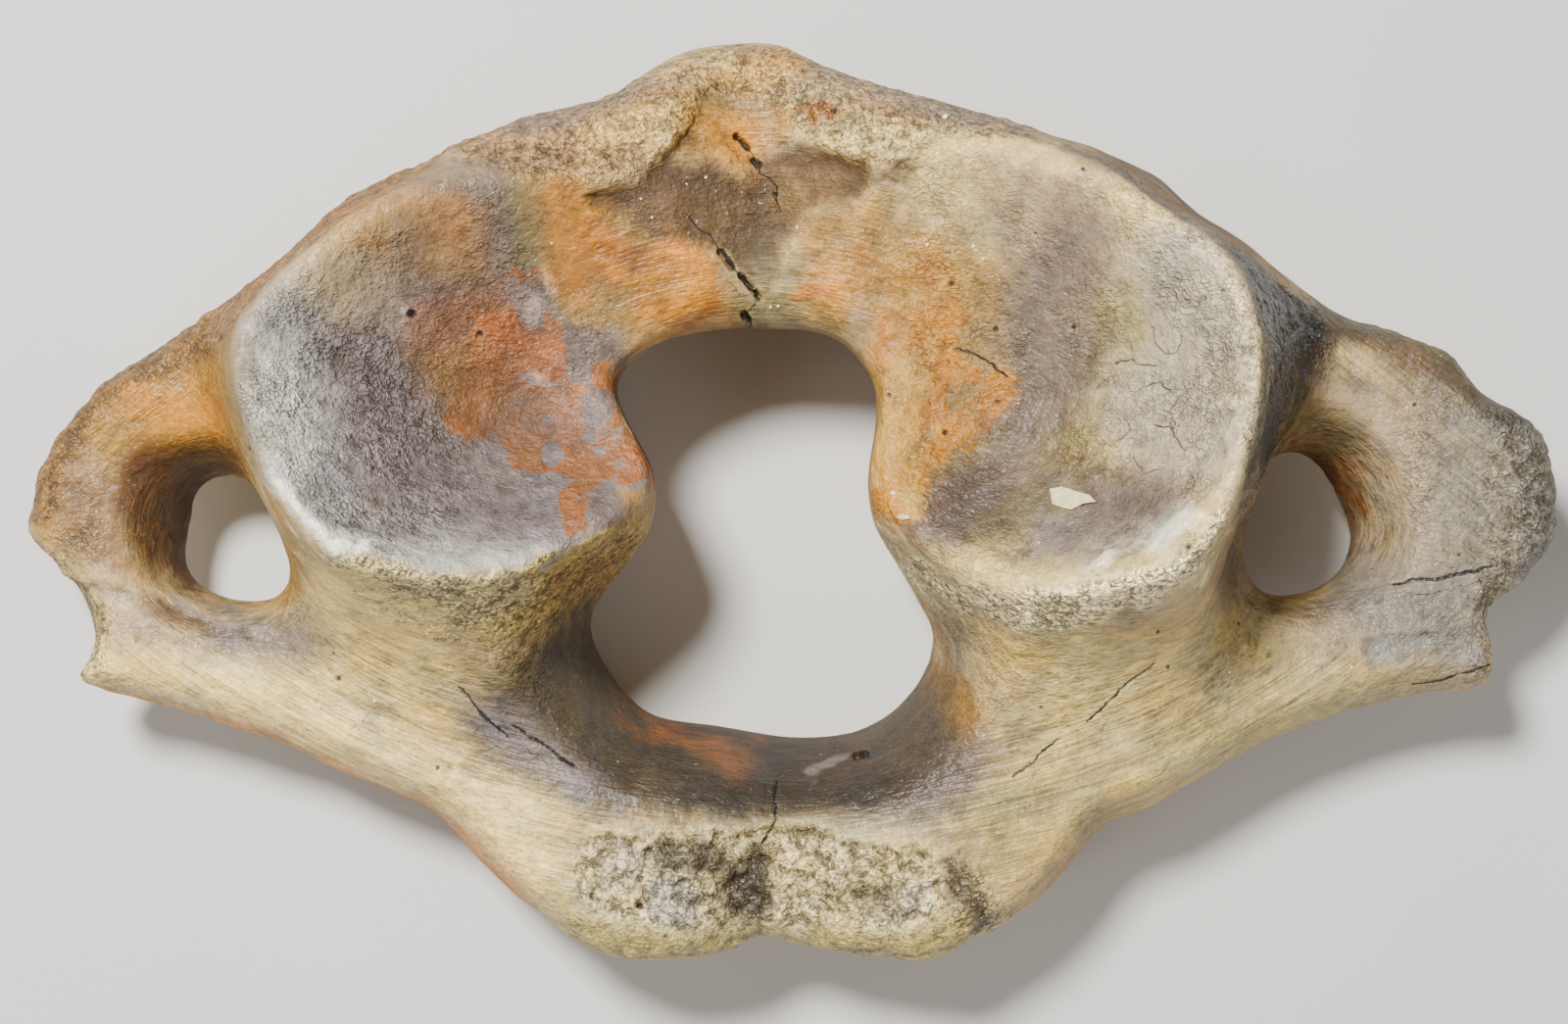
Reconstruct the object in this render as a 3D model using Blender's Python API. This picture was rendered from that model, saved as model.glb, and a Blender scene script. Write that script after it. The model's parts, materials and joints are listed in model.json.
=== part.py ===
"""Fossil mammoth atlas, the first vertebra of the neck, lying on its rear face with its front face up.

Life size. Every size below is in millimetres and becomes metres when the mesh is made. +Z is up, towards
the skull, +Y is the belly side of the neck and +X is to the right as one looks down on the front face.

The bone is one piece. Its edge loops, seen from above, are the outer edge, the opening for the spinal cord
and the canal through each wing. A front surface and a rear surface meet along those loops. Both surfaces
are blends of named stations, and the front one also carries the two cups that took the skull.
"""

import bmesh
import bpy
import numpy as np
from mathutils import Vector
from mathutils.geometry import delaunay_2d_cdt

MM = 0.001

# Edge loops. Each point is x, y and z of the widest line of the edge, then how far in from it the front
# surface, and then the rear surface, takes to reach full height.
OUTER_EDGE = [
    # Belly tubercle, and down the left shoulder to the root of the left wing
    (-16, 124, 60, 12, 16), (-30, 122, 60, 12, 16), (-48, 110, 58, 12, 18), (-72, 103.5, 56, 10, 18),
    (-98, 93, 56, 7, 18), (-121, 83, 56, 7, 16), (-140, 67, 50, 8, 16), (-158, 54, 48, 10, 14),
    (-173, 43, 50, 10, 14), (-190.5, 31.5, 52, 7, 14),
    # Left wing, with its broken notch
    (-193.5, 27.5, 52, 6, 12), (-204, 15.5, 48, 8, 12), (-210, -1, 44, 8, 12), (-211, -8, 42, 6, 10),
    (-204, -16, 40, 6, 9), (-195, -28, 38, 6, 8), (-192, -40, 38, 6, 8), (-198, -48, 36, 5, 8),
    (-195, -50.5, 36, 8, 10),
    # Lower bar of the left wing and the left lamina
    (-176, -56, 36, 14, 12), (-159, -61, 36, 14, 12), (-142, -67, 34, 14, 12), (-128, -74, 32, 14, 12),
    (-109, -82, 28, 14, 12), (-100, -87, 20, 14, 8), (-89.5, -99.5, 10, 14, 5), (-79, -110, 10, 16, 5),
    # Spine stump on the back of the neck, two lobes with a cleft between them
    (-72, -113, 26, 12, 12), (-63, -118, 44, 10, 18), (-48, -124, 50, 10, 20), (-36, -125, 50, 10, 20),
    (-17, -122.5, 50, 10, 20), (-10, -118.5, 48, 9, 20), (-6, -118.5, 48, 9, 20),
    (5, -121.5, 50, 10, 20), (20, -123.5, 50, 10, 20),
    (37, -125, 50, 10, 20), (51, -119, 44, 10, 18), (59, -116.5, 28, 12, 12),
    # Right lamina and the lower bar of the right wing
    (68.5, -112.5, 12, 16, 5), (79.5, -100.5, 10, 14, 5), (86.5, -90.5, 18, 14, 8), (98, -85.5, 28, 14, 12),
    (116, -75, 34, 14, 12), (131, -66, 36, 14, 12), (157, -57, 36, 14, 12), (175, -53, 38, 12, 12),
    # Right wing, broken off short
    (191, -50, 40, 8, 10), (192.5, -41, 42, 5, 10), (189.5, -30, 44, 5, 10), (197.5, -23, 46, 6, 12),
    (205, -15, 48, 8, 14), (209, -4, 50, 8, 16), (207, 11, 54, 8, 16), (200, 23, 56, 8, 16),
    (187.5, 30.5, 54, 9, 16), (179.5, 40.5, 54, 9, 16), (168, 46, 54, 9, 16),
    # Right shoulder, back to the belly tubercle
    (151, 51, 52, 10, 16), (135, 62, 46, 10, 16), (122, 73, 40, 9, 16), (110, 81, 36, 9, 14),
    (100.5, 90, 36, 8, 14), (90, 94, 40, 8, 16), (69.5, 99.5, 50, 8, 18), (50, 105.5, 54, 10, 18),
    (29, 111, 56, 12, 18), (15, 115, 58, 12, 18), (4, 120, 60, 12, 16), (-6, 124, 60, 12, 16),
]
CORD_OPENING = [
    # Belly side, where the peg of the second vertebra lay
    (-8, 47, 66, 12, 24), (-26, 46, 67, 12, 24), (-36, 43, 71, 10, 18), (-48, 33.5, 77, 8, 8),
    (-45, 22.5, 82, 7, 6), (-37.5, 8, 86, 6, 6), (-39, -6, 70, 9, 6),
    # Back side, the wider way of the spinal cord, with a sloping mouth
    (-45, -15, 44, 14, 6), (-53, -24, 26, 20, 6), (-58, -34, 20, 22, 6), (-54.5, -44.5, 18, 24, 6),
    (-42, -59.5, 16, 26, 6), (-22, -63.5, 15, 26, 6), (2, -67, 15, 26, 6), (21.5, -64, 16, 26, 6),
    (35.5, -51.5, 20, 24, 6), (40, -38, 24, 22, 6), (35, -27.5, 32, 18, 6), (28, -15.5, 50, 12, 6),
    (22, -6, 68, 8, 6), (20, 6, 84, 6, 6), (22.5, 22, 81, 7, 6), (22, 32, 76, 8, 8), (12, 44, 69, 11, 18),
]
LEFT_CANAL = [
    (-167, 4.5, 24, 20, 8), (-157, 7.5, 26, 20, 10), (-147, 3, 40, 10, 14), (-139, -8, 52, 6, 16),
    (-137, -18, 52, 6, 16), (-141, -25, 45, 9, 14), (-151, -27, 40, 11, 12), (-162, -25, 34, 14, 10),
    (-170.5, -17.5, 24, 20, 8), (-170, -6, 20, 22, 8),
]
RIGHT_CANAL = [
    (131, 12, 40, 12, 14), (144, 13, 26, 20, 10), (152.5, 4, 20, 22, 8), (157, -10, 24, 20, 8),
    (150.5, -21, 34, 14, 10), (137, -25.5, 42, 11, 12), (127, -23, 46, 9, 14), (123, -13, 54, 6, 16),
    (125, 0, 58, 6, 16),
]

# The cups. The crest of a rim is x, y, z and how steeply the outer wall falls away from it.
LEFT_CUP_FOCUS = (-70, 26)
LEFT_CUP_FLOOR = 81
LEFT_CREST = [
    (-139, 37, 126, 4.0), (-137, 46, 124, 4.0), (-125, 60, 118, 4.0), (-111, 72, 112, 4.0),
    (-92, 82, 105, 3.5), (-69, 85, 98, 2.0), (-45, 82, 92, 1.2), (-31, 68, 85, 0.3), (-31, 50, 82, 0.3),
    (-42, 30, 85, 1.0), (-35, 8, 89, 1.0), (-44, -4, 99, 1.8), (-60, -13, 111, 1.8),
    (-79, -18, 121, 1.8), (-97, -17, 127, 2.2), (-111, -14, 132, 3.0), (-120, -7, 134, 4.0),
    (-128, 4, 133, 4.0), (-135, 20, 129, 4.0),
]
RIGHT_CUP_FOCUS = (50, 26)
RIGHT_CUP_FLOOR = 82
RIGHT_CREST = [
    (115, 42, 132, 3.2), (108, 60, 127, 3.8), (92, 73, 118, 4.0), (76, 85, 108, 3.5), (56, 92, 99, 2.0),
    (41, 94, 94, 1.2), (22, 81, 87, 0.3), (13, 56, 82, 0.3), (20, 32, 83, 1.0), (19, 6, 89, 1.0),
    (29, -7, 97, 1.8), (40, -16, 105, 1.8), (59, -22, 118, 1.8), (74, -21, 126, 1.8),
    (94, -16, 134, 2.4), (106, -3, 136, 5.0), (113, 20, 134, 3.4),
]
BOWL_POWER = 1.7
CREST_ROUNDING = 10.0

# Stations: x, y, z of the surface there and how far the station reaches
FRONT_STATIONS = [
    (-195, 0, 57, 22), (-165, 40, 62, 18), (-172, -42, 58, 22), (-135, -48, 60, 20),     # left wing
    (-100, -60, 63, 20), (-76, -38, 72, 14), (-62, -36, 68, 12), (-52, -85, 67, 18),     # left lamina
    (-38, -104, 71, 12), (-9, -110, 60, 9), (28, -104, 70, 12), (-6, -86, 62, 12),       # spine stump
    (38, -85, 66, 18), (80, -60, 66, 20), (62, -42, 74, 14), (44, -34, 70, 12),          # right lamina
    (125, -44, 62, 20), (178, -38, 60, 20), (182, 5, 62, 24), (148, 44, 62, 16),         # right wing
    (125, 55, 70, 12), (-38, 92, 92, 12), (30, 96, 90, 12), (-8, 74, 80, 14),            # belly arch
    (-12, 96, 81, 10), (-14, 114, 79, 9),
]
REAR_STATIONS = [
    (-195, 0, 31, 22), (-165, 40, 28, 18), (-172, -42, 26, 22), (-135, -50, 19, 20),     # left wing
    (-172, -6, 17, 9), (159, -4, 17, 9),                                                 # canal mouths
    (-100, -68, 12, 18), (-86, -94, 5, 16), (-66, -98, 5, 14), (-45, -110, 17, 12),      # left lamina
    (-50, -82, 1, 16), (-8, -88, -2, 16), (-8, -112, 18, 10), (32, -82, 1, 16),          # spine stump
    (30, -110, 17, 12), (58, -98, 5, 14), (78, -94, 5, 16), (90, -68, 12, 18),           # right lamina
    (125, -50, 20, 20), (176, -40, 27, 20), (182, 5, 32, 24), (148, 44, 28, 16),         # right wing
    (90, 82, 24, 16), (-100, 82, 30, 16),                                                # shoulders
    (-8, 80, 14, 18), (-12, 112, 26, 12), (50, 90, 22, 16), (-65, 90, 22, 16),           # belly arch
]
# Faces that met the second vertebra: x, y, the two half widths and the turn in degrees. Each is slightly
# dished, and the bone lies on their rims.
REAR_FACETS = [(-70, 10, 36, 44, 16), (54, 10, 36, 44, -16)]
FACET_RIM = -1.2
FACET_DISH = 3.5
FACET_BEVEL_SLOPE = 0.9

SEAM_BLEND = 9.0
FOOT_BLEND = 20.0
REAR_BLEND = 14.0
EDGE_STEP = 2.0
GRID_STEP = 2.8
EDGE_ROWS = (0.35, 1.2, 2.4, 4.0)
CREST_ROWS = (0.88, 0.93, 0.97, 1.0, 1.02, 1.045, 1.08, 1.13)
REMESH_SIZE = 1.7
SMOOTH_PASSES = 6
TRIANGLES = 10400


def closed_curve(points, step):
    """A smooth closed curve through the points, resampled about every step along its plan."""
    points = np.array(points, float)
    before, after = np.roll(points, 1, axis=0), np.roll(points, -1, axis=0)
    beyond = np.roll(points, -2, axis=0)
    pieces = []
    for p0, p1, p2, p3 in zip(before, points, after, beyond):
        knots = np.cumsum([0.0] + [np.hypot(*(b - a)[:2]) ** 0.5 for a, b in ((p0, p1), (p1, p2), (p2, p3))])
        t = np.linspace(knots[1], knots[2], 24, endpoint=False)[:, None]
        a1 = p0 + (p1 - p0) * (t - knots[0]) / (knots[1] - knots[0])
        a2 = p1 + (p2 - p1) * (t - knots[1]) / (knots[2] - knots[1])
        a3 = p2 + (p3 - p2) * (t - knots[2]) / (knots[3] - knots[2])
        b1 = a1 + (a2 - a1) * (t - knots[0]) / (knots[2] - knots[0])
        b2 = a2 + (a3 - a2) * (t - knots[1]) / (knots[3] - knots[1])
        pieces.append(b1 + (b2 - b1) * (t - knots[1]) / (knots[2] - knots[1]))
    fine = np.vstack(pieces + [pieces[0][:1]])
    length = np.concatenate([[0.0], np.cumsum(np.hypot(*np.diff(fine[:, :2], axis=0).T))])
    count = int(round(length[-1] / step))
    at = np.linspace(0.0, length[-1], count, endpoint=False)
    return np.column_stack([np.interp(at, length, column) for column in fine.T])


def inside(loop, points):
    """True for each point that lies inside the loop, seen from above."""
    x, y = points[:, 0], points[:, 1]
    crossings = np.zeros(len(points), int)
    for (ax, ay), (bx, by) in zip(loop[:, :2], np.roll(loop[:, :2], -1, axis=0)):
        spans = (ay > y) != (by > y)
        if spans.any():
            crossings += spans & (x < ax + (bx - ax) * (y - ay) / (by - ay if by != ay else 1.0))
    return crossings % 2 == 1


def in_bone(loops, points):
    """True for each point inside the outer edge and outside the openings."""
    return inside(loops[0], points) & ~np.any([inside(loop, points) for loop in loops[1:]], axis=0)


def edge_values(edge, points):
    """Distance of each point to the nearest edge, and that edge's height and roundings blended there."""
    distance = np.empty(len(points))
    values = np.empty((len(points), 3))
    for start in range(0, len(points), 2000):
        part = points[start:start + 2000]
        squared = ((part[:, None, :2] - edge[None, :, :2]) ** 2).sum(axis=2)
        distance[start:start + 2000] = np.sqrt(squared.min(axis=1))
        weight = 1.0 / (squared + 4.0) ** 2
        values[start:start + 2000] = weight @ edge[:, 2:5] / weight.sum(axis=1, keepdims=True)
    return distance, values


def blended(stations, points):
    """Height of a surface that passes smoothly from station to station."""
    stations = np.array(stations, float)
    squared = ((points[:, None, :2] - stations[None, :, :2]) ** 2).sum(axis=2)
    weight = np.exp(-squared / (2 * stations[:, 3] ** 2)) + 1.0 / (squared + 25.0) ** 2
    return weight @ stations[:, 2] / weight.sum(axis=1)


def smooth_max(a, b, width):
    """The higher of two surfaces, with the crease between them filled over this width."""
    overlap = np.clip(1.0 - np.abs(a - b) / width, 0.0, 1.0)
    return np.maximum(a, b) + overlap ** 2 * width / 4


def smooth_step(value, low, high):
    """0 up to low, 1 from high on, and an even ramp between."""
    t = np.clip((value - low) / (high - low), 0.0, 1.0)
    return t * t * (3 - 2 * t)


def cup_surface(points, focus, floor, crest, plate):
    """A bowl from its floor up to the rounded crest of its rim, then the outer wall down to the plate."""
    rim = closed_curve(crest, 1.0)
    angle = np.arctan2(rim[:, 1] - focus[1], rim[:, 0] - focus[0])
    radius = np.hypot(rim[:, 0] - focus[0], rim[:, 1] - focus[1])
    order = np.argsort(angle)
    own_angle = np.arctan2(points[:, 1] - focus[1], points[:, 0] - focus[0])
    own_radius = np.hypot(points[:, 0] - focus[0], points[:, 1] - focus[1])
    reach, top, steepness = (
        np.interp(own_angle, angle[order], column[order], period=2 * np.pi)
        for column in (radius, rim[:, 2], rim[:, 3])
    )
    share = own_radius / reach
    rounding = CREST_ROUNDING * np.minimum(steepness / 3.0, 1.0)
    bowl = floor + (top + rounding / 4 - floor) * share ** BOWL_POWER
    wall = top + rounding / 4 - steepness * (own_radius - reach)
    cup = -smooth_max(-bowl, -wall, np.maximum(rounding, 1.0))
    fillet = SEAM_BLEND + FOOT_BLEND * smooth_step(top - plate, 15.0, 45.0)
    return cup + (smooth_max(plate, cup, fillet) - cup) * smooth_step(share, 0.92, 1.04)


def front_surface(points):
    plate = blended(FRONT_STATIONS, points)
    left = cup_surface(points, LEFT_CUP_FOCUS, LEFT_CUP_FLOOR, LEFT_CREST, plate)
    right = cup_surface(points, RIGHT_CUP_FOCUS, RIGHT_CUP_FLOOR, RIGHT_CREST, plate)
    return left + (right - left) * smooth_step(points[:, 0], -16.0, -2.0)


def rear_surface(points):
    height = blended(REAR_STATIONS, points)
    for x, y, half_x, half_y, turn in REAR_FACETS:
        c, s = np.cos(np.radians(turn)), np.sin(np.radians(turn))
        dx, dy = points[:, 0] - x, points[:, 1] - y
        share = np.hypot((dx * c + dy * s) / half_x, (dy * c - dx * s) / half_y)
        beyond = np.maximum(share - 1.0, 0.0) * min(half_x, half_y)
        dish = FACET_DISH * np.clip(1.0 - (share / 0.86) ** 2, 0.0, 1.0)
        facet = FACET_RIM + dish + FACET_BEVEL_SLOPE * beyond
        height = -smooth_max(-height, -facet, REAR_BLEND)
    return height


def plan_points(loops, edge):
    """Points over the plan of the bone: the loops, rows close inside them, and a grid."""
    rows = []
    for offset in EDGE_ROWS:
        for loop in loops:
            ahead = np.roll(loop[:, :2], -1, axis=0) - np.roll(loop[:, :2], 1, axis=0)
            sideways = np.column_stack([-ahead[:, 1], ahead[:, 0]])
            sideways /= np.hypot(*sideways.T)[:, None]
            for side in (1, -1):
                row = loop[:, :2] + side * offset * sideways
                clear = edge_values(edge, row)[0] > 0.93 * offset
                rows.append(row[clear & in_bone(loops, row)])
    low, high = loops[0][:, :2].min(axis=0), loops[0][:, :2].max(axis=0)
    xs, ys = np.arange(low[0], high[0], GRID_STEP), np.arange(low[1], high[1], GRID_STEP * 0.866)
    grid = np.array([(x + (GRID_STEP / 2 if n % 2 else 0), y) for n, y in enumerate(ys) for x in xs])
    grid = grid[in_bone(loops, grid)]
    for focus, crest in ((LEFT_CUP_FOCUS, LEFT_CREST), (RIGHT_CUP_FOCUS, RIGHT_CREST)):
        rim = closed_curve(crest, EDGE_STEP)[:, :2]
        rings = np.vstack([focus + share * (rim - focus) for share in CREST_ROWS])
        rings = rings[in_bone(loops, rings)]
        rows.append(rings[edge_values(edge, rings)[0] > EDGE_ROWS[-1]])
    grid = grid[edge_values(edge, grid)[0] > EDGE_ROWS[-1] + GRID_STEP * 0.6]
    return np.vstack([loop[:, :2] for loop in loops] + rows + [grid])


def shell_of(points, loops, edge):
    """Vertices and faces of the two surfaces, joined along the loops."""
    bounds, first = [], 0
    for loop in loops:
        bounds += [(first + n, first + (n + 1) % len(loop)) for n in range(len(loop))]
        first += len(loop)
    made = delaunay_2d_cdt([Vector(p) for p in points], bounds, [], 0, 1e-5)
    plan = np.array([tuple(v) for v in made[0]])
    triangles = np.array([f for f in made[2] if len(f) == 3])
    triangles = triangles[in_bone(loops, plan[triangles].mean(axis=1))]
    on_edge = np.zeros(len(plan), bool)
    for n, sources in enumerate(made[3]):
        on_edge[n] = any(source < first for source in sources)
    distance, values = edge_values(edge, plan)
    level, round_up, round_down = values.T
    up = np.sqrt(1 - (1 - np.clip(distance / round_up, 0, 1)) ** 2)
    down = np.sqrt(1 - (1 - np.clip(distance / round_down, 0, 1)) ** 2)
    up[on_edge] = down[on_edge] = 0.0
    front = level + (front_surface(plan) - level) * up
    rear = level + (rear_surface(plan) - level) * down
    rear = np.minimum(rear, front - 1.0 * (distance > 0.1) * ~on_edge)
    lower = np.where(on_edge, np.arange(len(plan)), len(plan) + np.cumsum(~on_edge) - 1)
    vertices = np.vstack([np.column_stack([plan, front]), np.column_stack([plan, rear])[~on_edge]])
    clockwise = np.cross(plan[triangles[:, 1]] - plan[triangles[:, 0]],
                         plan[triangles[:, 2]] - plan[triangles[:, 0]]) < 0
    triangles[clockwise] = triangles[clockwise][:, ::-1]
    return vertices, np.vstack([triangles, lower[triangles[:, ::-1]]])


def bone_material():
    material = bpy.data.materials.new("fossil_bone")
    material.use_nodes = True
    shader = material.node_tree.nodes["Principled BSDF"]
    shader.inputs["Base Color"].default_value = (0.36, 0.24, 0.13, 1.0)
    shader.inputs["Roughness"].default_value = 0.55
    shader.inputs["Metallic"].default_value = 0.0
    return material


def apply_modifier(obj, kind, **settings):
    modifier = obj.modifiers.new(kind.title(), kind)
    for name, value in settings.items():
        setattr(modifier, name, value)
    bpy.context.view_layer.objects.active = obj
    bpy.ops.object.modifier_apply(modifier=modifier.name)


def flatten_feet(mesh):
    """Cuts off what lies below the table, which leaves flat faces to rest on."""
    shape = bmesh.new()
    shape.from_mesh(mesh)
    everything = shape.verts[:] + shape.edges[:] + shape.faces[:]
    cut = bmesh.ops.bisect_plane(shape, geom=everything, plane_co=(0, 0, 0), plane_no=(0, 0, -1),
                                 clear_outer=True)
    rims = [item for item in cut["geom_cut"] if isinstance(item, bmesh.types.BMEdge)]
    bmesh.ops.triangle_fill(shape, use_beauty=True, edges=rims, normal=(0, 0, -1))
    shape.to_mesh(mesh)
    shape.free()


def centre_plan(mesh):
    """Puts the middle of the bone's plan over the origin."""
    places = np.array([vertex.co for vertex in mesh.vertices])
    middle = (places.min(axis=0) + places.max(axis=0)) / 2
    for vertex in mesh.vertices:
        vertex.co.x -= middle[0]
        vertex.co.y -= middle[1]


def make_atlas():
    loops = [closed_curve(points, EDGE_STEP) for points in (OUTER_EDGE, CORD_OPENING, LEFT_CANAL, RIGHT_CANAL)]
    edge = np.vstack([closed_curve(points, 1.0) for points in (OUTER_EDGE, CORD_OPENING, LEFT_CANAL, RIGHT_CANAL)])
    vertices, faces = shell_of(plan_points(loops, edge), loops, edge)
    mesh = bpy.data.meshes.new("atlas_vertebra")
    mesh.from_pydata((vertices * MM).tolist(), [], faces.tolist())
    mesh.validate()
    obj = bpy.data.objects.new("atlas_vertebra", mesh)
    bpy.context.scene.collection.objects.link(obj)
    apply_modifier(obj, "REMESH", mode="VOXEL", voxel_size=REMESH_SIZE * MM)
    apply_modifier(obj, "SMOOTH", factor=0.5, iterations=SMOOTH_PASSES)
    obj.data.calc_loop_triangles()
    apply_modifier(obj, "DECIMATE", ratio=TRIANGLES / len(obj.data.loop_triangles))
    flatten_feet(obj.data)
    centre_plan(obj.data)
    obj.data.shade_smooth()
    obj.data.materials.append(bone_material())
    return obj


def main():
    for obj in list(bpy.data.objects):
        bpy.data.objects.remove(obj)
    make_atlas()


main()
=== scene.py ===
"""Dresses the fossil mammoth atlas: the weathered and mineral-stained surface of the bone, the flakes and the
grains of sand that lie on it, and a small studio. Places in the tables are in millimetres in the plan of the
bone, with x to the right and y towards its belly side."""

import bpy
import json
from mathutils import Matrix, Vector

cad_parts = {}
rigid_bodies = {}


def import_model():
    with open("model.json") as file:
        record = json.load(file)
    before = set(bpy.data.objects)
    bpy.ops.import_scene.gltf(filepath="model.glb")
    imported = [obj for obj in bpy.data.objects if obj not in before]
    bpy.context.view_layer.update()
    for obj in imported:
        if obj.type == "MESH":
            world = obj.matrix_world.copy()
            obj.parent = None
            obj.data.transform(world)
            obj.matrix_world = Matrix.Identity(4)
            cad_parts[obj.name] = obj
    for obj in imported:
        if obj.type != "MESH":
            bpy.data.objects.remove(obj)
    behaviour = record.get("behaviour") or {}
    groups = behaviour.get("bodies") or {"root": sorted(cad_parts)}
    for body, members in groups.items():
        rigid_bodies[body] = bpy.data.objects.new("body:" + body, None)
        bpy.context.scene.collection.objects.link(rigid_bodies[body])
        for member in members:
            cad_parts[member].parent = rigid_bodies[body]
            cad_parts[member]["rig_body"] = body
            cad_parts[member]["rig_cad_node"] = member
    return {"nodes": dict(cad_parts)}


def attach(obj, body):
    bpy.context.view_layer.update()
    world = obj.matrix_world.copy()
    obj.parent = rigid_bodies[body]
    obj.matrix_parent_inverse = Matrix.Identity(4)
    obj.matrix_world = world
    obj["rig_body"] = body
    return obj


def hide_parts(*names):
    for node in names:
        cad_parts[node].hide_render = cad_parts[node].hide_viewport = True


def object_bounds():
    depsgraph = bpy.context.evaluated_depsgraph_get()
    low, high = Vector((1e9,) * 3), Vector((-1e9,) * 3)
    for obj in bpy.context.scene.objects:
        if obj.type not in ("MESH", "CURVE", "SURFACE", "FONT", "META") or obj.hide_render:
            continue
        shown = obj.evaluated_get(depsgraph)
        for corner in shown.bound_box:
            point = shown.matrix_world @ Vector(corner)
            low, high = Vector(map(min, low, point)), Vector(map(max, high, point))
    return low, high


bl_info = {
    "name": "Fossil mammoth atlas",
    "version": (1, 0, 0),
    "blender": (4, 5, 0),
    "location": "View3D > Sidebar > Atlas",
    "description": "A life-size fossil neck vertebra with stained joint cups and weathered, broken wings",
    "category": "Object",
}

import functools
import itertools
import json
import math
import random

import bpy
import numpy as np
from bpy.props import FloatProperty, FloatVectorProperty, IntProperty, PointerProperty
from mathutils import Vector

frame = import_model()
SOLID_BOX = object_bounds()
MM = 0.001
ABOVE_ALL = 300  # mm, higher than the whole bone
CAMERA_X, CAMERA_Y = -0.0015, -0.002
LENS, SENSOR = 67.5, 36.0  # mm

# Fibres run out along the wings at this angle, along arcs over the spinal opening, and round the canals
FIBRE_TURN = math.radians(38)
FIBRE_STRETCH = 24  # how many times as long as wide they are
ARC_X, ROOF_ARC_Y, BELLY_ARC_Y = -8, 180, -40
ARC_REACH = 260  # mm from their middle, where fibres along an arc have their usual length
CANALS = [(-152.0, -9.0), (141.0, -5.0)]
CANAL_REACH, CANAL_RADIUS, CANAL_STRETCH = 33, 24, 9
CRACK_REACH, NO_CRACK = 3.5, 5.0  # how far from a crack its distance is kept, and the value beyond
FAR = 99.0  # mm, beyond any seam of the fibres
SCATTER_X, SCATTER_Y = 195, 115  # how far out grains of sand are tried
HASH_PRIMES = (73856093, 19349663, 83492791)


def linear(code):
    """An sRGB hex colour as linear values."""
    parts = [int(code[n:n + 2], 16) / 255 for n in (1, 3, 5)]
    return tuple(c / 12.92 if c <= 0.04045 else ((c + 0.055) / 1.055) ** 2.4 for c in parts)


def colour(name, code, description):
    return FloatVectorProperty(name=name, description=description, default=linear(code), size=3,
                               subtype="COLOR", min=0.0, max=1.0)


def length(name, millimetres, description):
    return FloatProperty(name=name, description=description, default=millimetres * MM, unit="LENGTH",
                         min=0.0, precision=5)


class AtlasSizes(bpy.types.PropertyGroup):
    grains_of_sand: IntProperty(name="Grains of sand", description="How many places are tried for a grain",
                                default=46, min=0)
    coarse_grid: length("Coarse grid", 1.8, "Spacing of the surface before it is subdivided once")
    triangles: IntProperty(name="Triangles", default=178000, min=20000, max=199000,
                           description="How many are left before those round pits and cracks are split")
    undulation: length("Undulation", 0.5, "Height of the slow swells all over the bone")
    roughness: length("Roughness", 0.8, "Height of the knobs on torn and grainy bone")
    broken: length("Broken rims", 1.5, "Height of the steps along the broken wing tips")
    pebble: length("Pebbling", 2.0, "Size of the leathery grain in the joint cups")
    fibre: length("Fibres", 0.62, "Width of the lengthwise fibres of the outer bone")
    grain: length("Grains", 1.3, "Size of the grains on the cartilage bands and the spine stump")


class AtlasColours(bpy.types.PropertyGroup):
    tan: colour("Tan", "#BBA16C", "Weathered outer bone")
    cream: colour("Cream", "#EECE7C", "Bleached outer bone")
    pink: colour("Pinkish tan", "#9D8467", "Outer bone of the wings")
    ochre: colour("Ochre", "#A1752C", "Iron-stained outer bone")
    orange: colour("Orange", "#C37C1B", "Bright iron stain")
    salmon: colour("Salmon", "#C68A2C", "Pale iron stain in the right cup")
    amber: colour("Amber brown", "#7E5A2C", "Deep gold stain on the outer walls")
    rust: colour("Rust", "#975C2A", "Iron stain in the cups")
    red: colour("Red rust", "#9B5727", "Freshest iron stain")
    deep_rust: colour("Deep rust", "#4E2C16", "Iron stain down in the canals")
    mauve: colour("Mauve grey", "#7D716D", "Polished joint bone")
    dark_mauve: colour("Dark mauve", "#736862", "Manganese-tinted joint bone")
    purple: colour("Purple brown", "#6E5A46", "Stained joint bone")
    grey: colour("Pale grey", "#9C9890", "Bleached joint bone")
    # White also paints the pale dots, partly specks of sand and partly painted glints
    white: colour("White", "#F1F0DB", "Bare mineral crust")
    umber: colour("Umber", "#5E4431", "Brown stain at the edge of the rust")
    stone: colour("Stone grey", "#787367", "Bleached and weathered wing bone")
    olive: colour("Olive", "#776941", "Greenish clay stain")
    straw: colour("Straw", "#AB974A", "Yellowish outer bone")
    gold: colour("Gold", "#847540", "Golden cartilage band")
    # Brown is also mixed into the darkest gaps, where it follows the painted shade
    brown: colour("Brown", "#5C4225", "Soil-filled hollow")
    roof: colour("Roof brown", "#322C27", "Smooth roof of the spinal opening")
    slate: colour("Slate", "#292725", "Dark weathered wall")
    # Black also paints shade inside the pits and cracks
    black: colour("Black", "#1A1616", "Manganese specks, pits and cracks")
    floor: colour("Floor", "#D9D6D0", "Plain pale studio floor")


class AtlasStudio(bpy.types.PropertyGroup):
    camera_height: FloatProperty(name="Camera height", description="How high the camera looks down from",
                                 default=0.856, unit="LENGTH")
    key_power: FloatProperty(name="Key light", description="Power of the main soft light", default=38.5,
                             unit="POWER")
    fill_power: FloatProperty(name="Fill lights", description="Power of each softer side light", default=5.5,
                              unit="POWER")
    sky: FloatProperty(name="Sky", description="Strength of the light from all round", default=0.19)


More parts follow.
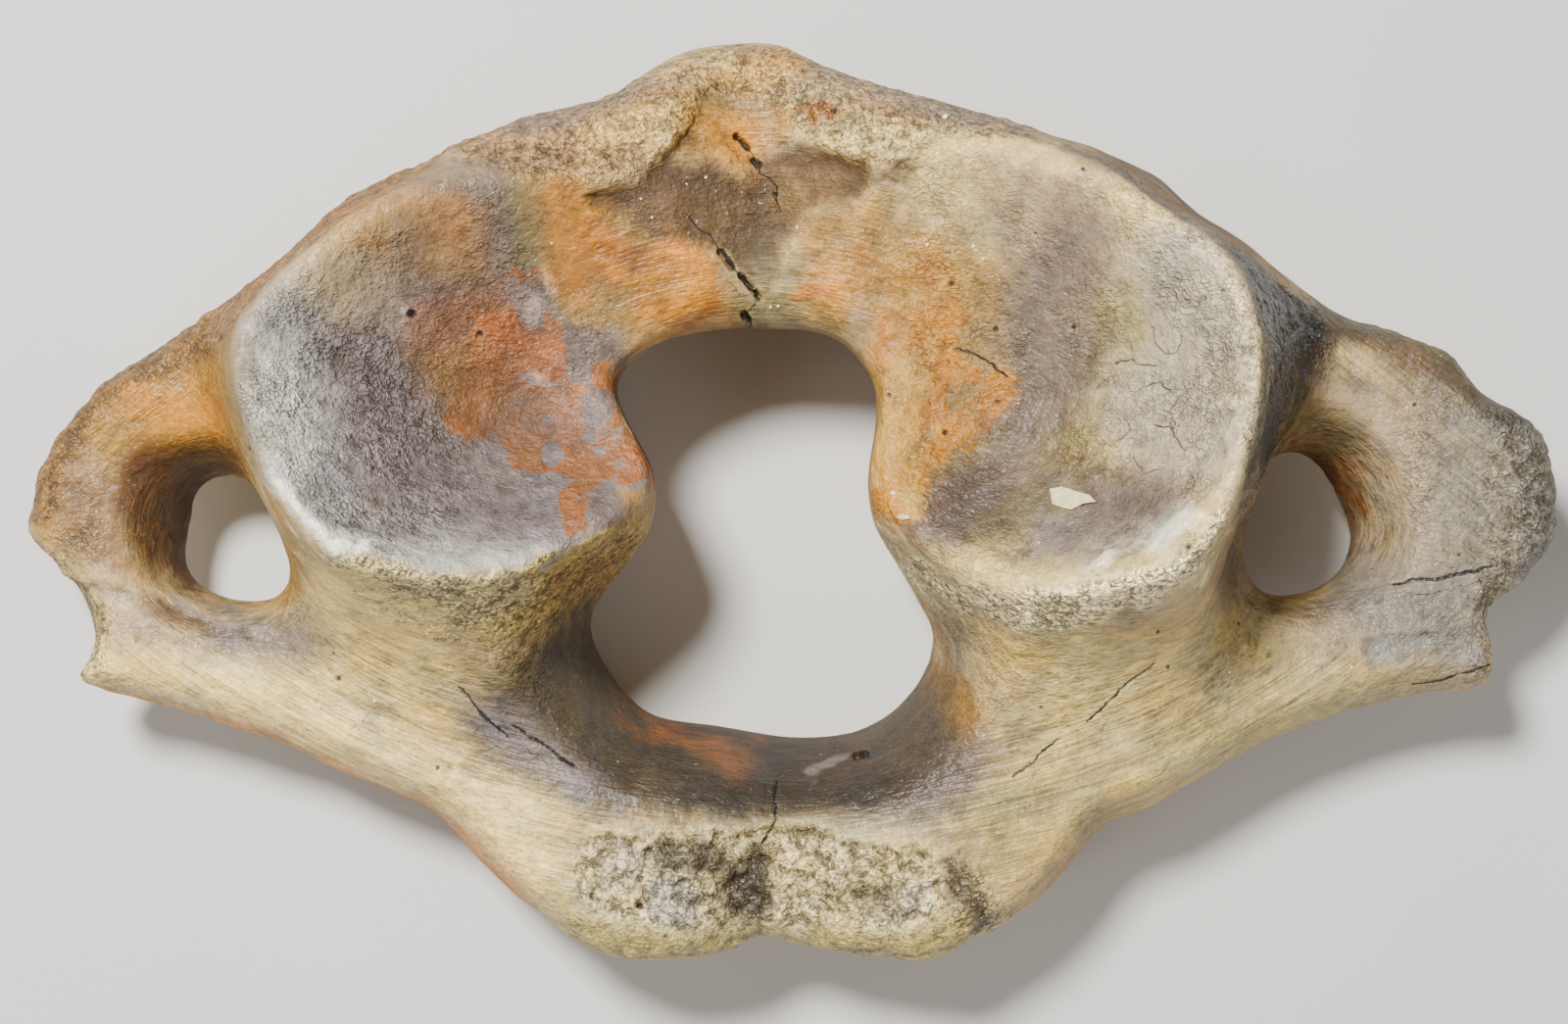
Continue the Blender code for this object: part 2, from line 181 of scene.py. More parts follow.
# Outlines of the bone's parts
LEFT_CUP = [(-137, 45), (-138, 35), (-136, 25), (-133, 15), (-130, 8), (-124, 0), (-119, -6), (-112, -12),
    (-103, -14), (-88, -17), (-79, -18), (-70, -17), (-62, -14), (-55, -11), (-45, -8), (-40, -3), (-36, 8),
    (-40, 17), (-44, 25), (-47, 34), (-44, 45), (-47, 56), (-52, 68), (-58, 82), (-70, 85), (-80, 84),
    (-90, 83), (-98, 80), (-105, 76), (-112, 70), (-120, 62), (-128, 55)]
RIGHT_CUP = [(117, 35), (116, 45), (112, 56), (105, 65), (95, 75), (85, 84), (75, 89), (62, 93), (50, 95),
    (38, 94), (30, 86), (25, 70), (23, 58), (25, 45), (25, 30), (22, 18), (21, 5), (23, -6), (30, -14),
    (38, -18), (48, -21), (60, -22), (72, -20), (84, -17), (94, -14), (101, -9), (106, 0), (111, 10),
    (115, 20), (117, 28)]
LEFT_BAND = [(-116, -11), (-103, -14), (-88, -17), (-79, -18), (-70, -17), (-62, -14), (-55, -11),
    (-45, -8), (-39, -3), (-37, -10), (-42, -17), (-48, -22), (-56, -28), (-66, -34), (-74, -36),
    (-84, -33), (-92, -27), (-100, -23), (-108, -18), (-114, -15)]
RIGHT_BAND = [(22, -6), (30, -14), (38, -18), (48, -21), (60, -22), (72, -20), (84, -17), (94, -14),
    (101, -9), (106, 0), (109, -4), (106, -12), (101, -18), (95, -23), (86, -27), (78, -30), (68, -32),
    (56, -31), (46, -28), (38, -24), (30, -19)]
DARK_WALL = [(72, 92), (90, 82), (104, 70), (114, 58), (118, 40), (117, 24), (112, 10), (114, -4),
    (124, -2), (130, 16), (140, 34), (146, 44), (144, 54), (128, 62), (112, 66), (98, 78), (84, 90)]
LEFT_WALL = [(-216, -6), (-214, 20), (-198, 44), (-160, 74), (-126, 98), (-70, 120), (-64, 102), (-94, 90),
    (-114, 74), (-130, 60), (-142, 44), (-160, 38), (-184, 28), (-196, 12), (-200, -6)]
SPINE_STUMP = [(-58, -97), (-53, -89), (-45, -87), (-30, -88), (-8, -87), (4, -87), (15, -89), (30, -91),
    (38, -93), (42, -100), (42, -109), (36, -114), (20, -114), (5, -114), (-7, -114), (-22, -114),
    (-38, -113), (-50, -110), (-57, -104)]
ROOF = [(-66, -36), (-78, -46), (-88, -58), (-84, -66), (-70, -76), (-52, -82), (-30, -85), (-8, -85),
    (14, -85), (32, -83), (46, -77), (52, -66), (50, -54), (44, -44), (38, -36), (30, -28), (0, -62),
    (-40, -50), (-52, -26)]
SHOULDERS = [(-100, 96), (-60, 110), (-22, 122), (0, 124), (30, 116), (70, 104), (62, 94), (38, 95),
    (30, 88), (20, 87), (12, 93), (0, 98), (-8, 108), (-22, 108), (-26, 98), (-32, 91), (-44, 84),
    (-60, 82), (-78, 86)]
RIGHT_CUP_FLOOR = [(30, -6), (34, 4), (46, 10), (56, 4), (54, -6), (42, -11)]
ROOF_CORNER = [(26, -82), (44, -82), (54, -68), (46, -62), (34, -70)]
LOBE_PATCH = [(-39, -100), (-33, -99), (-27, -100), (-24, -106), (-26, -111), (-32, -113), (-38, -110)]

# Stains with soft borders, as (colour, strength, softness, outline), each painted over those before it
GROUND = [
    # Outer bone
    ("cream", 0.5, 12, [(-200, -30), (-130, -20), (-100, -20), (-60, -60), (-60, -100), (-130, -80),
        (-200, -60)]),
    ("cream", 0.5, 8, [(50, -34), (76, -40), (84, -54), (72, -80), (50, -86), (46, -60)]),
    ("tan", 0.6, 9, [(-200, -30), (-130, -20), (-100, -20), (-40, -80), (60, -80), (100, -24), (200, -38),
        (200, -60), (60, -128), (-60, -128), (-200, -60)]),
    ("cream", 0.8, 7, [(-192, -42), (-150, -40), (-118, -42), (-100, -62), (-72, -82), (-100, -74),
        (-130, -62), (-165, -52)]),
    ("cream", 0.7, 6, [(-125, -18), (-104, -22), (-92, -32), (-84, -44), (-96, -60), (-118, -46),
        (-124, -34)]),
    ("cream", 0.6, 8, [(-90, -64), (-62, -80), (-60, -90), (-66, -104), (-82, -84)]),
    ("pink", 0.7, 6, [(-190, -12), (-172, -26), (-150, -34), (-120, -30), (-118, -44), (-150, -42),
        (-192, -36)]),
    ("pink", 0.8, 9, [(136, 36), (165, 34), (176, 26), (178, 0), (190, -46), (160, -44), (130, -30),
        (158, -18), (160, 8)]),
    ("stone", 0.9, 8, [(174, 32), (186, 30), (214, 20), (214, -26), (186, -24), (170, -14), (172, 6)]),
    ("slate", 0.35, 5, [(196, 22), (214, 22), (214, -20), (196, -18), (202, 0)]),
    ("slate", 0.4, 4, [(182, -28), (194, -28), (194, -48), (184, -44)]),
    ("stone", 0.7, 7, [(150, -14), (182, -14), (190, -26), (186, -44), (160, -44), (146, -30)]),
    ("straw", 0.5, 10, [(60, -28), (110, -30), (165, -46), (175, -52), (120, -72), (80, -96), (50, -104),
        (48, -84), (66, -62)]),
    ("pink", 0.6, 4, [(78, -27), (92, -24), (96, -32), (88, -40), (76, -38)]),
    ("pink", 0.5, 6, [(40, -30), (52, -40), (64, -62), (54, -80), (40, -82), (44, -60), (36, -44)]),
    ("ochre", 1.0, 8, [(-206, 10), (-190, 32), (-150, 62), (-118, 86), (-112, 78), (-136, 52), (-140, 14),
        (-150, 6), (-186, 8), (-190, -12), (-208, -12)]),
    ("pink", 0.9, 5, [(-197, 12), (-188, 14), (-184, -6), (-180, -18), (-196, -18)]),
    ("ochre", 0.5, 5, [(-199, 10), (-184, 16), (-182, -6), (-178, -20), (-198, -16)]),
    ("amber", 0.8, 4, LEFT_WALL),
    ("ochre", 0.8, 5, [(-130, 4), (-124, -4), (-128, -20), (-136, -30), (-142, -28), (-134, -14)]),
    ("ochre", 1.0, 5, [(-156, 66), (-136, 70), (-128, 56), (-138, 34), (-134, 14), (-150, 6), (-160, 30)]),
    ("gold", 0.5, 3, [(-150, 40), (-144, 44), (-138, 30), (-132, 8), (-138, 6), (-146, 20)]),
    ("ochre", 0.8, 5, [(-126, 80), (-104, 92), (-84, 92), (-92, 82), (-112, 70), (-128, 56), (-136, 62)]),
    ("amber", 0.7, 3, LEFT_WALL),
    ("rust", 0.4, 4, [(-140, 62), (-120, 84), (-112, 84), (-126, 64), (-138, 50)]),
    ("brown", 0.3, 4, [(-206, 22), (-190, 36), (-170, 50), (-168, 44), (-188, 28), (-198, 14)]),
    # Belly arch
    ("pink", 0.9, 5, [(-100, 96), (-60, 108), (-36, 112), (-22, 110), (-26, 98), (-31, 91), (-42, 85),
        (-58, 82), (-76, 86), (-92, 88)]),
    ("ochre", 0.5, 4, SHOULDERS),
    ("umber", 0.3, 4, [(-100, 96), (-60, 108), (-36, 112), (-40, 100), (-60, 92), (-90, 90)]),
    ("umber", 0.35, 4, [(4, 118), (40, 112), (74, 102), (62, 96), (30, 98), (4, 106)]),
    ("salmon", 0.4, 3, [(-96, 96), (-80, 102), (-76, 96), (-90, 90)]),
    ("mauve", 0.4, 4, [(-74, 100), (-58, 106), (-52, 98), (-68, 92)]),
    ("ochre", 0.5, 3, [(-50, 96), (-40, 104), (-30, 106), (-34, 98), (-44, 90)]),
    ("mauve", 0.4, 3, [(-30, 112), (-20, 118), (-12, 116), (-18, 108)]),
    ("ochre", 0.5, 4, [(-30, 112), (-12, 120), (4, 120), (6, 110), (-10, 107), (-24, 107)]),
    ("salmon", 0.5, 3, [(-10, 122), (2, 121), (6, 114), (-4, 110), (-12, 112)]),
    ("cream", 0.5, 3, [(-54, 98), (-42, 102), (-28, 106), (-27, 99), (-34, 93), (-44, 90), (-54, 90)]),
    ("tan", 0.8, 5, [(0, 112), (14, 108), (36, 102), (60, 98), (58, 92), (38, 93), (26, 88), (14, 93),
        (2, 96)]),
    ("pink", 0.7, 5, [(8, 118), (40, 112), (72, 102), (68, 94), (44, 98), (20, 102), (4, 108)]),
    ("cream", 0.3, 3, [(-34, 114), (-20, 119), (-6, 118), (2, 112), (-6, 108), (-20, 111), (-28, 109)]),
    ("cream", 0.5, 2, [(0, 99), (14, 97), (34, 99), (37, 95), (26, 92), (12, 94)]),
    ("ochre", 0.35, 5, [(-96, 92), (-60, 90), (-40, 90), (-28, 100), (-24, 110), (-40, 104), (-66, 98)]),
    ("rust", 0.3, 4, [(-20, 122), (0, 124), (16, 118), (4, 116), (-12, 118)]),
    ("ochre", 0.4, 4, [(10, 112), (30, 106), (44, 100), (30, 98), (12, 102)]),
    ("purple", 0.5, 5, [(30, 112), (60, 102), (78, 96), (66, 92), (40, 98)]),
    ("ochre", 0.9, 3, [(-28, 104), (-18, 108), (-4, 106), (0, 100), (-2, 92), (-12, 87), (-22, 88),
        (-29, 92)]),
    ("orange", 0.6, 4, [(-22, 102), (-10, 104), (-3, 100), (-4, 94), (-14, 90), (-23, 92)]),
    ("salmon", 0.4, 3, [(-24, 112), (-14, 115), (-4, 113), (-8, 109), (-18, 110)]),
    ("orange", 0.9, 5, [(-64, 82), (-50, 76), (-44, 72), (-34, 70), (-24, 69), (-17, 64), (-15, 50),
        (-30, 46), (-46, 44), (-62, 50)]),
    ("ochre", 0.6, 5, [(-38, 70), (-20, 70), (-22, 60), (-36, 58), (-48, 64)]),
    ("ochre", 0.9, 5, [(0, 76), (24, 82), (31, 76), (29, 54), (14, 46), (4, 50), (2, 64)]),
    ("orange", 0.55, 3, [(8, 66), (22, 66), (27, 56), (20, 50), (8, 54), (1, 56)]),
    ("olive", 0.75, 3, [(-19, 63), (-12, 59), (-4, 58), (2, 60), (4, 68), (0, 48), (-16, 47), (-17, 56)]),
    ("cream", 0.6, 2.5, [(26, 80), (31, 82), (33, 70), (31, 60), (27, 62), (26, 72)]),
    ("stone", 0.6, 2.5, [(15, 50), (22, 56), (25, 50), (24, 42), (18, 44)]),
    ("brown", 0.95, 2, [(-53, 80), (-45, 82.5), (-40, 84), (-37, 87), (-31, 90), (-22, 89), (-14, 87),
        (-9, 89), (-4, 93), (4, 95), (12, 93), (18, 89), (22, 85), (18, 80), (6, 78), (1, 74), (-3, 68),
        (-2, 60), (-6, 57), (-11, 60), (-17, 66), (-22, 69), (-32, 69), (-44, 71), (-52, 74)]),
    # Darker along the low side of the ledge above the hollow
    ("umber", 0.2, 3, [(-48, 80), (-40, 83), (-31, 89), (-20, 87), (-24, 80), (-38, 74), (-48, 75)]),
    ("olive", 0.5, 3, [(-16, 66), (-10, 72), (0, 72), (-3, 66), (-3, 60), (-8, 58), (-12, 61)]),
    ("brown", 0.6, 2, [(22, 84), (27, 90), (34, 90), (32, 84), (26, 81)]),
    ("brown", 0.45, 3, [(-2, 92), (12, 93), (20, 86), (12, 78), (-4, 80)]),
    ("ochre", 0.45, 4, [(-4, 76), (0, 92), (12, 90), (20, 84), (12, 78)]),
    # Left cup
    ("mauve", 1.0, 2.5, LEFT_CUP),
    ("tan", 0.6, 6, [(-134, 56), (-120, 44), (-106, 50), (-96, 62), (-98, 78), (-112, 72)]),
    ("pink", 0.4, 7, [(-132, 56), (-120, 50), (-104, 44), (-94, 40), (-96, 58), (-104, 68), (-114, 72)]),
    ("rust", 0.75, 6, [(-99, 38), (-97, 50), (-88, 58), (-76, 62), (-66, 58), (-66, 40), (-72, 28),
        (-80, 24), (-92, 27)]),
    ("umber", 0.45, 5, [(-102, 44), (-96, 60), (-80, 63), (-72, 57), (-74, 46), (-84, 42), (-92, 38)]),
    ("ochre", 0.55, 5, [(-97, 38), (-84, 40), (-78, 30), (-80, 20), (-90, 22), (-95, 30)]),
    ("purple", 0.75, 4, [(-112, 66), (-100, 84), (-76, 90), (-64, 88), (-66, 62), (-84, 56), (-100, 58)]),
    ("salmon", 0.4, 5, [(-102, 81), (-86, 80), (-78, 72), (-82, 60), (-94, 60), (-98, 72)]),
    ("red", 0.25, 3, [(-94, 80), (-84, 77), (-80, 68), (-86, 62), (-90, 70)]),
    ("salmon", 0.4, 5, [(-120, 72), (-104, 80), (-98, 76), (-104, 66), (-116, 62)]),
    ("ochre", 0.9, 3.5, [(-71, 86), (-52, 84), (-42, 76), (-42, 46), (-52, 46), (-60, 50), (-66, 58),
        (-69, 70)]),
    ("red", 0.4, 3, [(-66, 82), (-58, 84), (-53, 76), (-44, 70), (-36, 66), (-50, 64), (-55, 55), (-62, 58),
        (-60, 66), (-68, 68)]),
    ("rust", 0.4, 4, [(-58, 80), (-46, 72), (-44, 54), (-56, 56), (-60, 66)]),
    ("orange", 0.4, 3, [(-64, 84), (-54, 80), (-50, 64), (-56, 54), (-64, 56), (-62, 70)]),
    ("olive", 0.7, 2.5, [(-74, 84), (-65, 84), (-63, 70), (-66, 60), (-71, 62), (-73, 72)]),
    ("mauve", 0.7, 2.5, [(-74, 57), (-66, 61), (-62, 56), (-63, 46), (-68, 46), (-73, 52)]),
    ("olive", 0.5, 2.5, [(-50, 57), (-45, 57), (-43, 46), (-49, 45)]),
    ("grey", 0.9, 6, [(-137, 47), (-138, 30), (-133, 15), (-128, 5), (-116, -4), (-104, -6), (-108, 6),
        (-116, 22), (-118, 48), (-124, 56)]),
    ("white", 0.45, 4, [(-134, 44), (-126, 44), (-119, 24), (-118, 8), (-126, 6), (-132, 18)]),
    ("olive", 0.5, 2, [(-139, 42), (-135, 42), (-131, 28), (-128, 12), (-131, 8), (-135, 18), (-138, 30)]),
    ("grey", 0.55, 4, [(-112, -8), (-102, 0), (-92, 0), (-82, -5), (-72, -9), (-62, -8), (-56, -11),
        (-66, -16), (-79, -18), (-92, -16), (-103, -14)]),
    ("dark_mauve", 0.8, 5, [(-106, 34), (-98, 34), (-92, 22), (-80, 15), (-70, 8), (-60, 0), (-60, -6),
        (-74, -4), (-86, 2), (-98, 12), (-108, 24)]),
    ("white", 0.9, 1.2, [(-128, 5), (-124, 5), (-121, 0), (-116, -5), (-112, -7), (-106, -8), (-104, -12),
        (-108, -14), (-113, -12), (-118, -8), (-122, -3), (-126, 2)]),
    ("white", 0.25, 2.5, [(-112, -8), (-100, -9), (-88, -9), (-72, -10), (-60, -12), (-66, -16), (-80, -18),
        (-95, -16), (-108, -13)]),
    ("umber", 0.6, 2, [(-63, 48), (-50, 47), (-43, 38), (-43, 22), (-56, 19), (-60, 34)]),
    ("ochre", 0.7, 1.5, [(-45, 4), (-38, 4), (-37, -4), (-42, -8), (-41, -2), (-43, 0)]),
    ("umber", 0.5, 2, [(-53, 6), (-47, 4), (-41, 0), (-38, -5), (-42, -9), (-47, -8), (-50, -5), (-53, 0)]),
    # Right cup
    ("cream", 1.0, 2.5, RIGHT_CUP),
    ("tan", 0.7, 6, [(24, 78), (40, 94), (62, 94), (64, 76), (56, 64), (40, 62), (26, 64)]),
    ("pink", 0.85, 8, [(54, 92), (78, 86), (86, 70), (82, 54), (58, 56), (50, 72)]),
    ("ochre", 0.8, 5, [(20, 72), (30, 76), (46, 68), (58, 60), (62, 44), (63, 32), (52, 16), (42, 2),
        (32, -10), (20, -6)]),
    ("salmon", 0.4, 4, [(22, 66), (36, 70), (46, 62), (48, 50), (46, 28), (40, 12), (30, 0), (22, 6)]),
    ("umber", 0.4, 4, [(46, 62), (60, 60), (66, 44), (62, 30), (54, 24), (58, 36), (50, 44)]),
    ("olive", 0.45, 2, [(42, 46), (50, 49), (56, 42), (53, 35), (47, 30), (41, 22), (34, 14), (29, 18),
        (35, 27), (42, 36)]),
    ("purple", 0.9, 6, [(60, 62), (66, 72), (76, 70), (82, 56), (84, 38), (80, 22), (76, 10), (68, -2),
        (56, -10), (40, -14), (32, -12), (28, -6), (36, 4), (46, 14), (53, 22), (58, 34), (56, 50)]),
    ("dark_mauve", 0.7, 4, [(30, -4), (36, 4), (44, 10), (52, 4), (50, -6), (42, -10), (34, -9)]),
    ("umber", 0.6, 4, RIGHT_CUP_FLOOR),
    ("mauve", 0.3, 8, [(58, 60), (76, 84), (104, 66), (114, 40), (108, 4), (84, -14), (50, -12), (34, -8),
        (52, 14)]),
    ("slate", 0.2, 4, RIGHT_CUP_FLOOR),
    ("grey", 0.65, 6, [(90, 72), (98, 72), (106, 66), (112, 56), (116, 42), (115, 20), (106, 4), (94, 4),
        (84, 12), (80, 26), (84, 44), (86, 60)]),
    ("white", 0.1, 6, [(90, 70), (100, 68), (110, 56), (114, 44), (106, 40), (96, 48), (90, 58)]),
    ("straw", 0.35, 4, [(80, 56), (90, 56), (92, 42), (86, 30), (78, 18), (72, 8), (68, 14), (78, 32)]),
    ("mauve", 0.9, 6, [(66, 4), (84, 8), (100, 4), (96, -8), (84, -12), (70, -16), (56, -14)]),
    ("mauve", 0.4, 5, [(76, 10), (94, 10), (98, 0), (80, -4)]),
    ("straw", 0.3, 3, [(62, 16), (70, 20), (82, 20), (80, 8), (70, 6), (64, 10)]),
    ("purple", 0.5, 5, [(72, 10), (90, 12), (98, 4), (90, -4), (76, -4)]),
    ("straw", 0.5, 1.5, [(84, 52), (90, 52), (91, 40), (86, 40)]),
    ("olive", 0.6, 2, [(60, 6), (68, 5), (75, 2), (74, -4), (60, -2)]),
    ("olive", 0.5, 3, [(46, -6), (54, 2), (66, 6), (66, 0), (58, -8), (48, -10)]),
    ("white", 0.5, 2, [(85, -13), (92, -12), (99, -6), (103, -1), (99, 1), (94, -2), (88, -7)]),
    ("white", 0.4, 2, [(72, -17), (76, -12), (84, -8), (82, -12), (76, -17)]),
    ("tan", 0.7, 3, [(22, -4), (30, -9), (40, -14), (52, -17), (66, -18), (66, -22), (50, -23), (36, -19),
        (24, -12)]),
    # Cartilage bands under the cups
    ("straw", 0.95, 2, LEFT_BAND),
    ("cream", 0.95, 2, RIGHT_BAND),
    # Painted light: paler over the bands, which face away from the key light and fall in its shade
    ("white", 0.35, 3, RIGHT_BAND),
    ("cream", 0.5, 3, LEFT_BAND),
    ("grey", 0.4, 3, [(-116, -11), (-103, -14), (-88, -17), (-79, -18), (-70, -17), (-62, -24), (-80, -32),
        (-100, -22)]),
    ("ochre", 0.7, 4, [(-62, -16), (-48, -10), (-40, -6), (-44, -20), (-58, -30), (-66, -32)]),
    ("tan", 0.6, 4, [(-92, -34), (-74, -36), (-70, -44), (-84, -50), (-94, -44)]),
    # Wall beside the right cup, and the right wing's belly side
    ("slate", 1.0, 4, DARK_WALL),
    ("black", 0.5, 4, DARK_WALL),
    ("pink", 0.8, 4, [(106, -16), (112, -28), (126, -28), (130, -8), (126, 8), (118, 10), (112, 2)]),
    ("umber", 0.4, 3, [(110, -20), (116, -24), (124, -20), (126, -4), (120, 6), (116, -8)]),
    ("cream", 0.3, 5, [(100, -34), (118, -32), (134, -34), (156, -48), (140, -56), (112, -54)]),
    ("amber", 1.0, 4, [(70, 118), (96, 108), (130, 90), (164, 62), (150, 54), (128, 63), (112, 74),
        (98, 84), (80, 96), (64, 104)]),
    ("brown", 0.85, 2.5, [(66, 103), (84, 97), (100, 88), (114, 77), (126, 67), (118, 62), (106, 73),
        (92, 84), (76, 94)]),
    ("umber", 0.4, 4, [(160, 42), (178, 38), (186, 32), (176, 30), (162, 36)]),
    ("tan", 0.3, 7, [(160, 26), (190, 20), (196, -14), (168, -16)]),
    ("slate", 0.8, 3, [(146, 68), (160, 62), (156, 54), (172, 48), (184, 42), (196, 30), (206, 20),
        (192, 20), (178, 31), (162, 40), (142, 46)]),
    ("umber", 0.5, 2, [(148, 48), (164, 44), (176, 38), (184, 31), (174, 34), (158, 41)]),
    ("slate", 0.25, 5, [(196, 18), (207, 14), (209, -8), (200, -12), (194, -2)]),
    ("gold", 0.5, 3, [(128, 24), (138, 30), (148, 28), (156, 18), (150, 14), (140, 20)]),
    ("brown", 0.45, 3, [(128, 24), (138, 30), (148, 28), (156, 18), (160, 6), (154, 8), (144, 18),
        (131, 20)]),
    # Canals
    ("deep_rust", 0.9, 4, [(-184, 12), (-176, 17), (-166, 16), (-156, 8), (-158, -24), (-168, -24),
        (-176, -18), (-181, -8), (-185, 2)]),
    ("brown", 0.7, 3, [(-172, 13), (-165, 18), (-157, 19), (-150, 15), (-148, 8), (-158, 8), (-168, 8)]),
    ("orange", 0.9, 5, [(-180, 32), (-166, 31), (-156, 27), (-151, 20), (-158, 19), (-168, 20),
        (-176, 23)]),
    ("ochre", 0.8, 4, [(-164, -24), (-150, -28), (-138, -27), (-130, -20), (-132, -10), (-142, -24)]),
    ("rust", 0.9, 3, [(130, 20), (142, 19), (152, 13), (158, 4), (160, -8), (156, -14), (148, -8),
        (140, 10)]),
    ("deep_rust", 0.4, 3, [(134, 18), (144, 17), (154, 10), (159, -2), (156, -14), (138, -20)]),
    ("orange", 0.5, 1.5, [(148, 13), (152, 10), (155, 3), (156, -6), (153, -3), (151, 4)]),
    ("dark_mauve", 0.5, 4, [(-168, -27), (-150, -31), (-134, -31), (-130, -36), (-142, -39), (-158, -34)]),
    ("umber", 0.35, 4, [(-172, -26), (-150, -32), (-134, -32), (-134, -38), (-152, -40), (-178, -32)]),
    # Roof of the spinal opening, and the laminae
    ("roof", 0.9, 5, ROOF),
    ("pink", 0.6, 5, [(30, -84), (48, -80), (56, -66), (46, -62), (36, -72)]),
    ("stone", 0.5, 6, [(-168, -30), (-130, -32), (-122, -40), (-150, -42)]),
    ("stone", 0.3, 8, [(100, -34), (150, -34), (150, -52), (110, -54)]),
    ("mauve", 0.7, 5, [(-90, -52), (-78, -52), (-66, -62), (-50, -74), (-56, -80), (-74, -72), (-88, -62)]),
    ("slate", 0.35, 6, [(-56, -60), (-30, -72), (-10, -76), (20, -74), (40, -64), (44, -72), (30, -82),
        (0, -86), (-30, -85), (-50, -78)]),
    ("umber", 0.4, 5, ROOF_CORNER),
    ("rust", 0.6, 3, [(-50, -50), (-45, -58), (-36, -65), (-26, -70), (-14, -75), (-8, -74), (-10, -68),
        (-22, -64), (-36, -58), (-46, -50)]),
    ("rust", 0.35, 3, [(4, -70), (20, -66), (22, -71), (8, -74)]),
    ("ochre", 0.6, 5, [(34, -30), (44, -40), (52, -56), (46, -62), (38, -48), (30, -34)]),
    ("roof", 0.7, 4, [(-40, -66), (-24, -80), (10, -82), (30, -76), (22, -66), (0, -64), (-30, -56)]),
    ("rust", 0.35, 3, [(-44, -58), (-36, -65), (-26, -70), (-14, -75), (-10, -68), (-22, -64), (-36, -57)]),
    ("tan", 0.6, 6, [(74, -30), (100, -36), (108, -50), (88, -72), (66, -84), (60, -60)]),
    ("cream", 0.4, 6, [(-112, -60), (-86, -64), (-64, -84), (-66, -102), (-90, -88)]),
    ("cream", 0.85, 6, [(-120, -24), (-96, -24), (-90, -40), (-104, -48), (-122, -42)]),
    ("cream", 0.75, 6, [(70, -34), (104, -34), (106, -48), (92, -66), (72, -70), (64, -50)]),
    ("stone", 0.45, 6, [(158, -22), (186, -22), (187, -42), (158, -42)]),
    ("stone", 0.4, 7, [(162, 20), (186, 20), (190, -8), (164, -10)]),
    ("umber", 0.6, 4, [(-198, 6), (-186, 8), (-183, -6), (-184, -16), (-198, -14)]),
    ("umber", 0.3, 5, [(-172, -26), (-150, -30), (-134, -32), (-134, -40), (-152, -42), (-178, -34)]),
    ("roof", 0.35, 5, ROOF_CORNER),
    # Spine stump and its slopes
    ("tan", 0.8, 4, [(-64, -100), (-52, -108), (0, -112), (50, -106), (50, -126), (-60, -128)]),
    ("straw", 0.75, 4, [(-64, -100), (-52, -110), (-30, -114), (0, -115), (36, -115), (50, -108),
        (46, -124), (0, -126), (-60, -126)]),
    ("cream", 0.8, 2, SPINE_STUMP),
    ("straw", 0.4, 3, SPINE_STUMP),
    ("white", 0.2, 3, SPINE_STUMP),
    ("gold", 0.15, 3, SPINE_STUMP),
    ("grey", 0.6, 1, LOBE_PATCH),
    ("grey", 0.4, 3, [(-54, -94), (-48, -89), (-40, -90), (-40, -100), (-48, -102)]),
    ("slate", 0.8, 1.5, [(-39, -91), (-36, -89.5), (-28, -90), (-18, -91.5), (-17, -98), (-26, -99),
        (-30, -97), (-37, -97)]),
    ("slate", 0.9, 3, [(-17, -94), (-8, -90), (-5, -96), (-4, -108), (-9, -113), (-18, -112), (-20, -102)]),
    ("slate", 0.4, 1.5, [(-12, -98), (-6, -97), (-5, -106), (-8, -107), (-12, -102)]),
    ("slate", 0.5, 3, [(8, -101), (30, -100), (38, -106), (34, -110), (10, -109)]),
    ("white", 0.35, 2, [(30, -102), (38, -103), (40, -107), (36, -110), (31, -108)]),
    ("slate", 0.7, 3, [(42, -95), (48, -98), (56, -110), (52, -116), (44, -106)]),
    ("gold", 0.6, 1.5, [(-16, -87), (-4, -86), (14, -89), (34, -91), (38, -94), (14, -91.5), (-10, -89.5)]),
    ("orange", 0.8, 3, [(-192, -50), (-170, -54), (-150, -59), (-130, -67), (-112, -76), (-100, -81),
        (-86, -90), (-74, -102), (-70, -112), (-100, -100), (-150, -76), (-200, -60)]),
    ("rust", 0.5, 8, [(92, -82), (82, -88), (72, -96), (64, -108), (80, -112), (100, -92)]),
    ("orange", 0.45, 5, [(130, -68), (160, -57), (192, -52), (196, -60), (130, -76)]),
    # Broken rims
    ("gold", 0.7, 2, [(-204, -14), (-194, -24), (-188, -36), (-186, -30), (-189, -22), (-198, -12)]),
    ("orange", 0.6, 1.5, [(-203, -15), (-196, -26), (-191, -32), (-198, -30), (-206, -18)]),
    ("slate", 0.5, 2, [(187, -18), (196, -18), (194, -28), (188, -27)]),
]

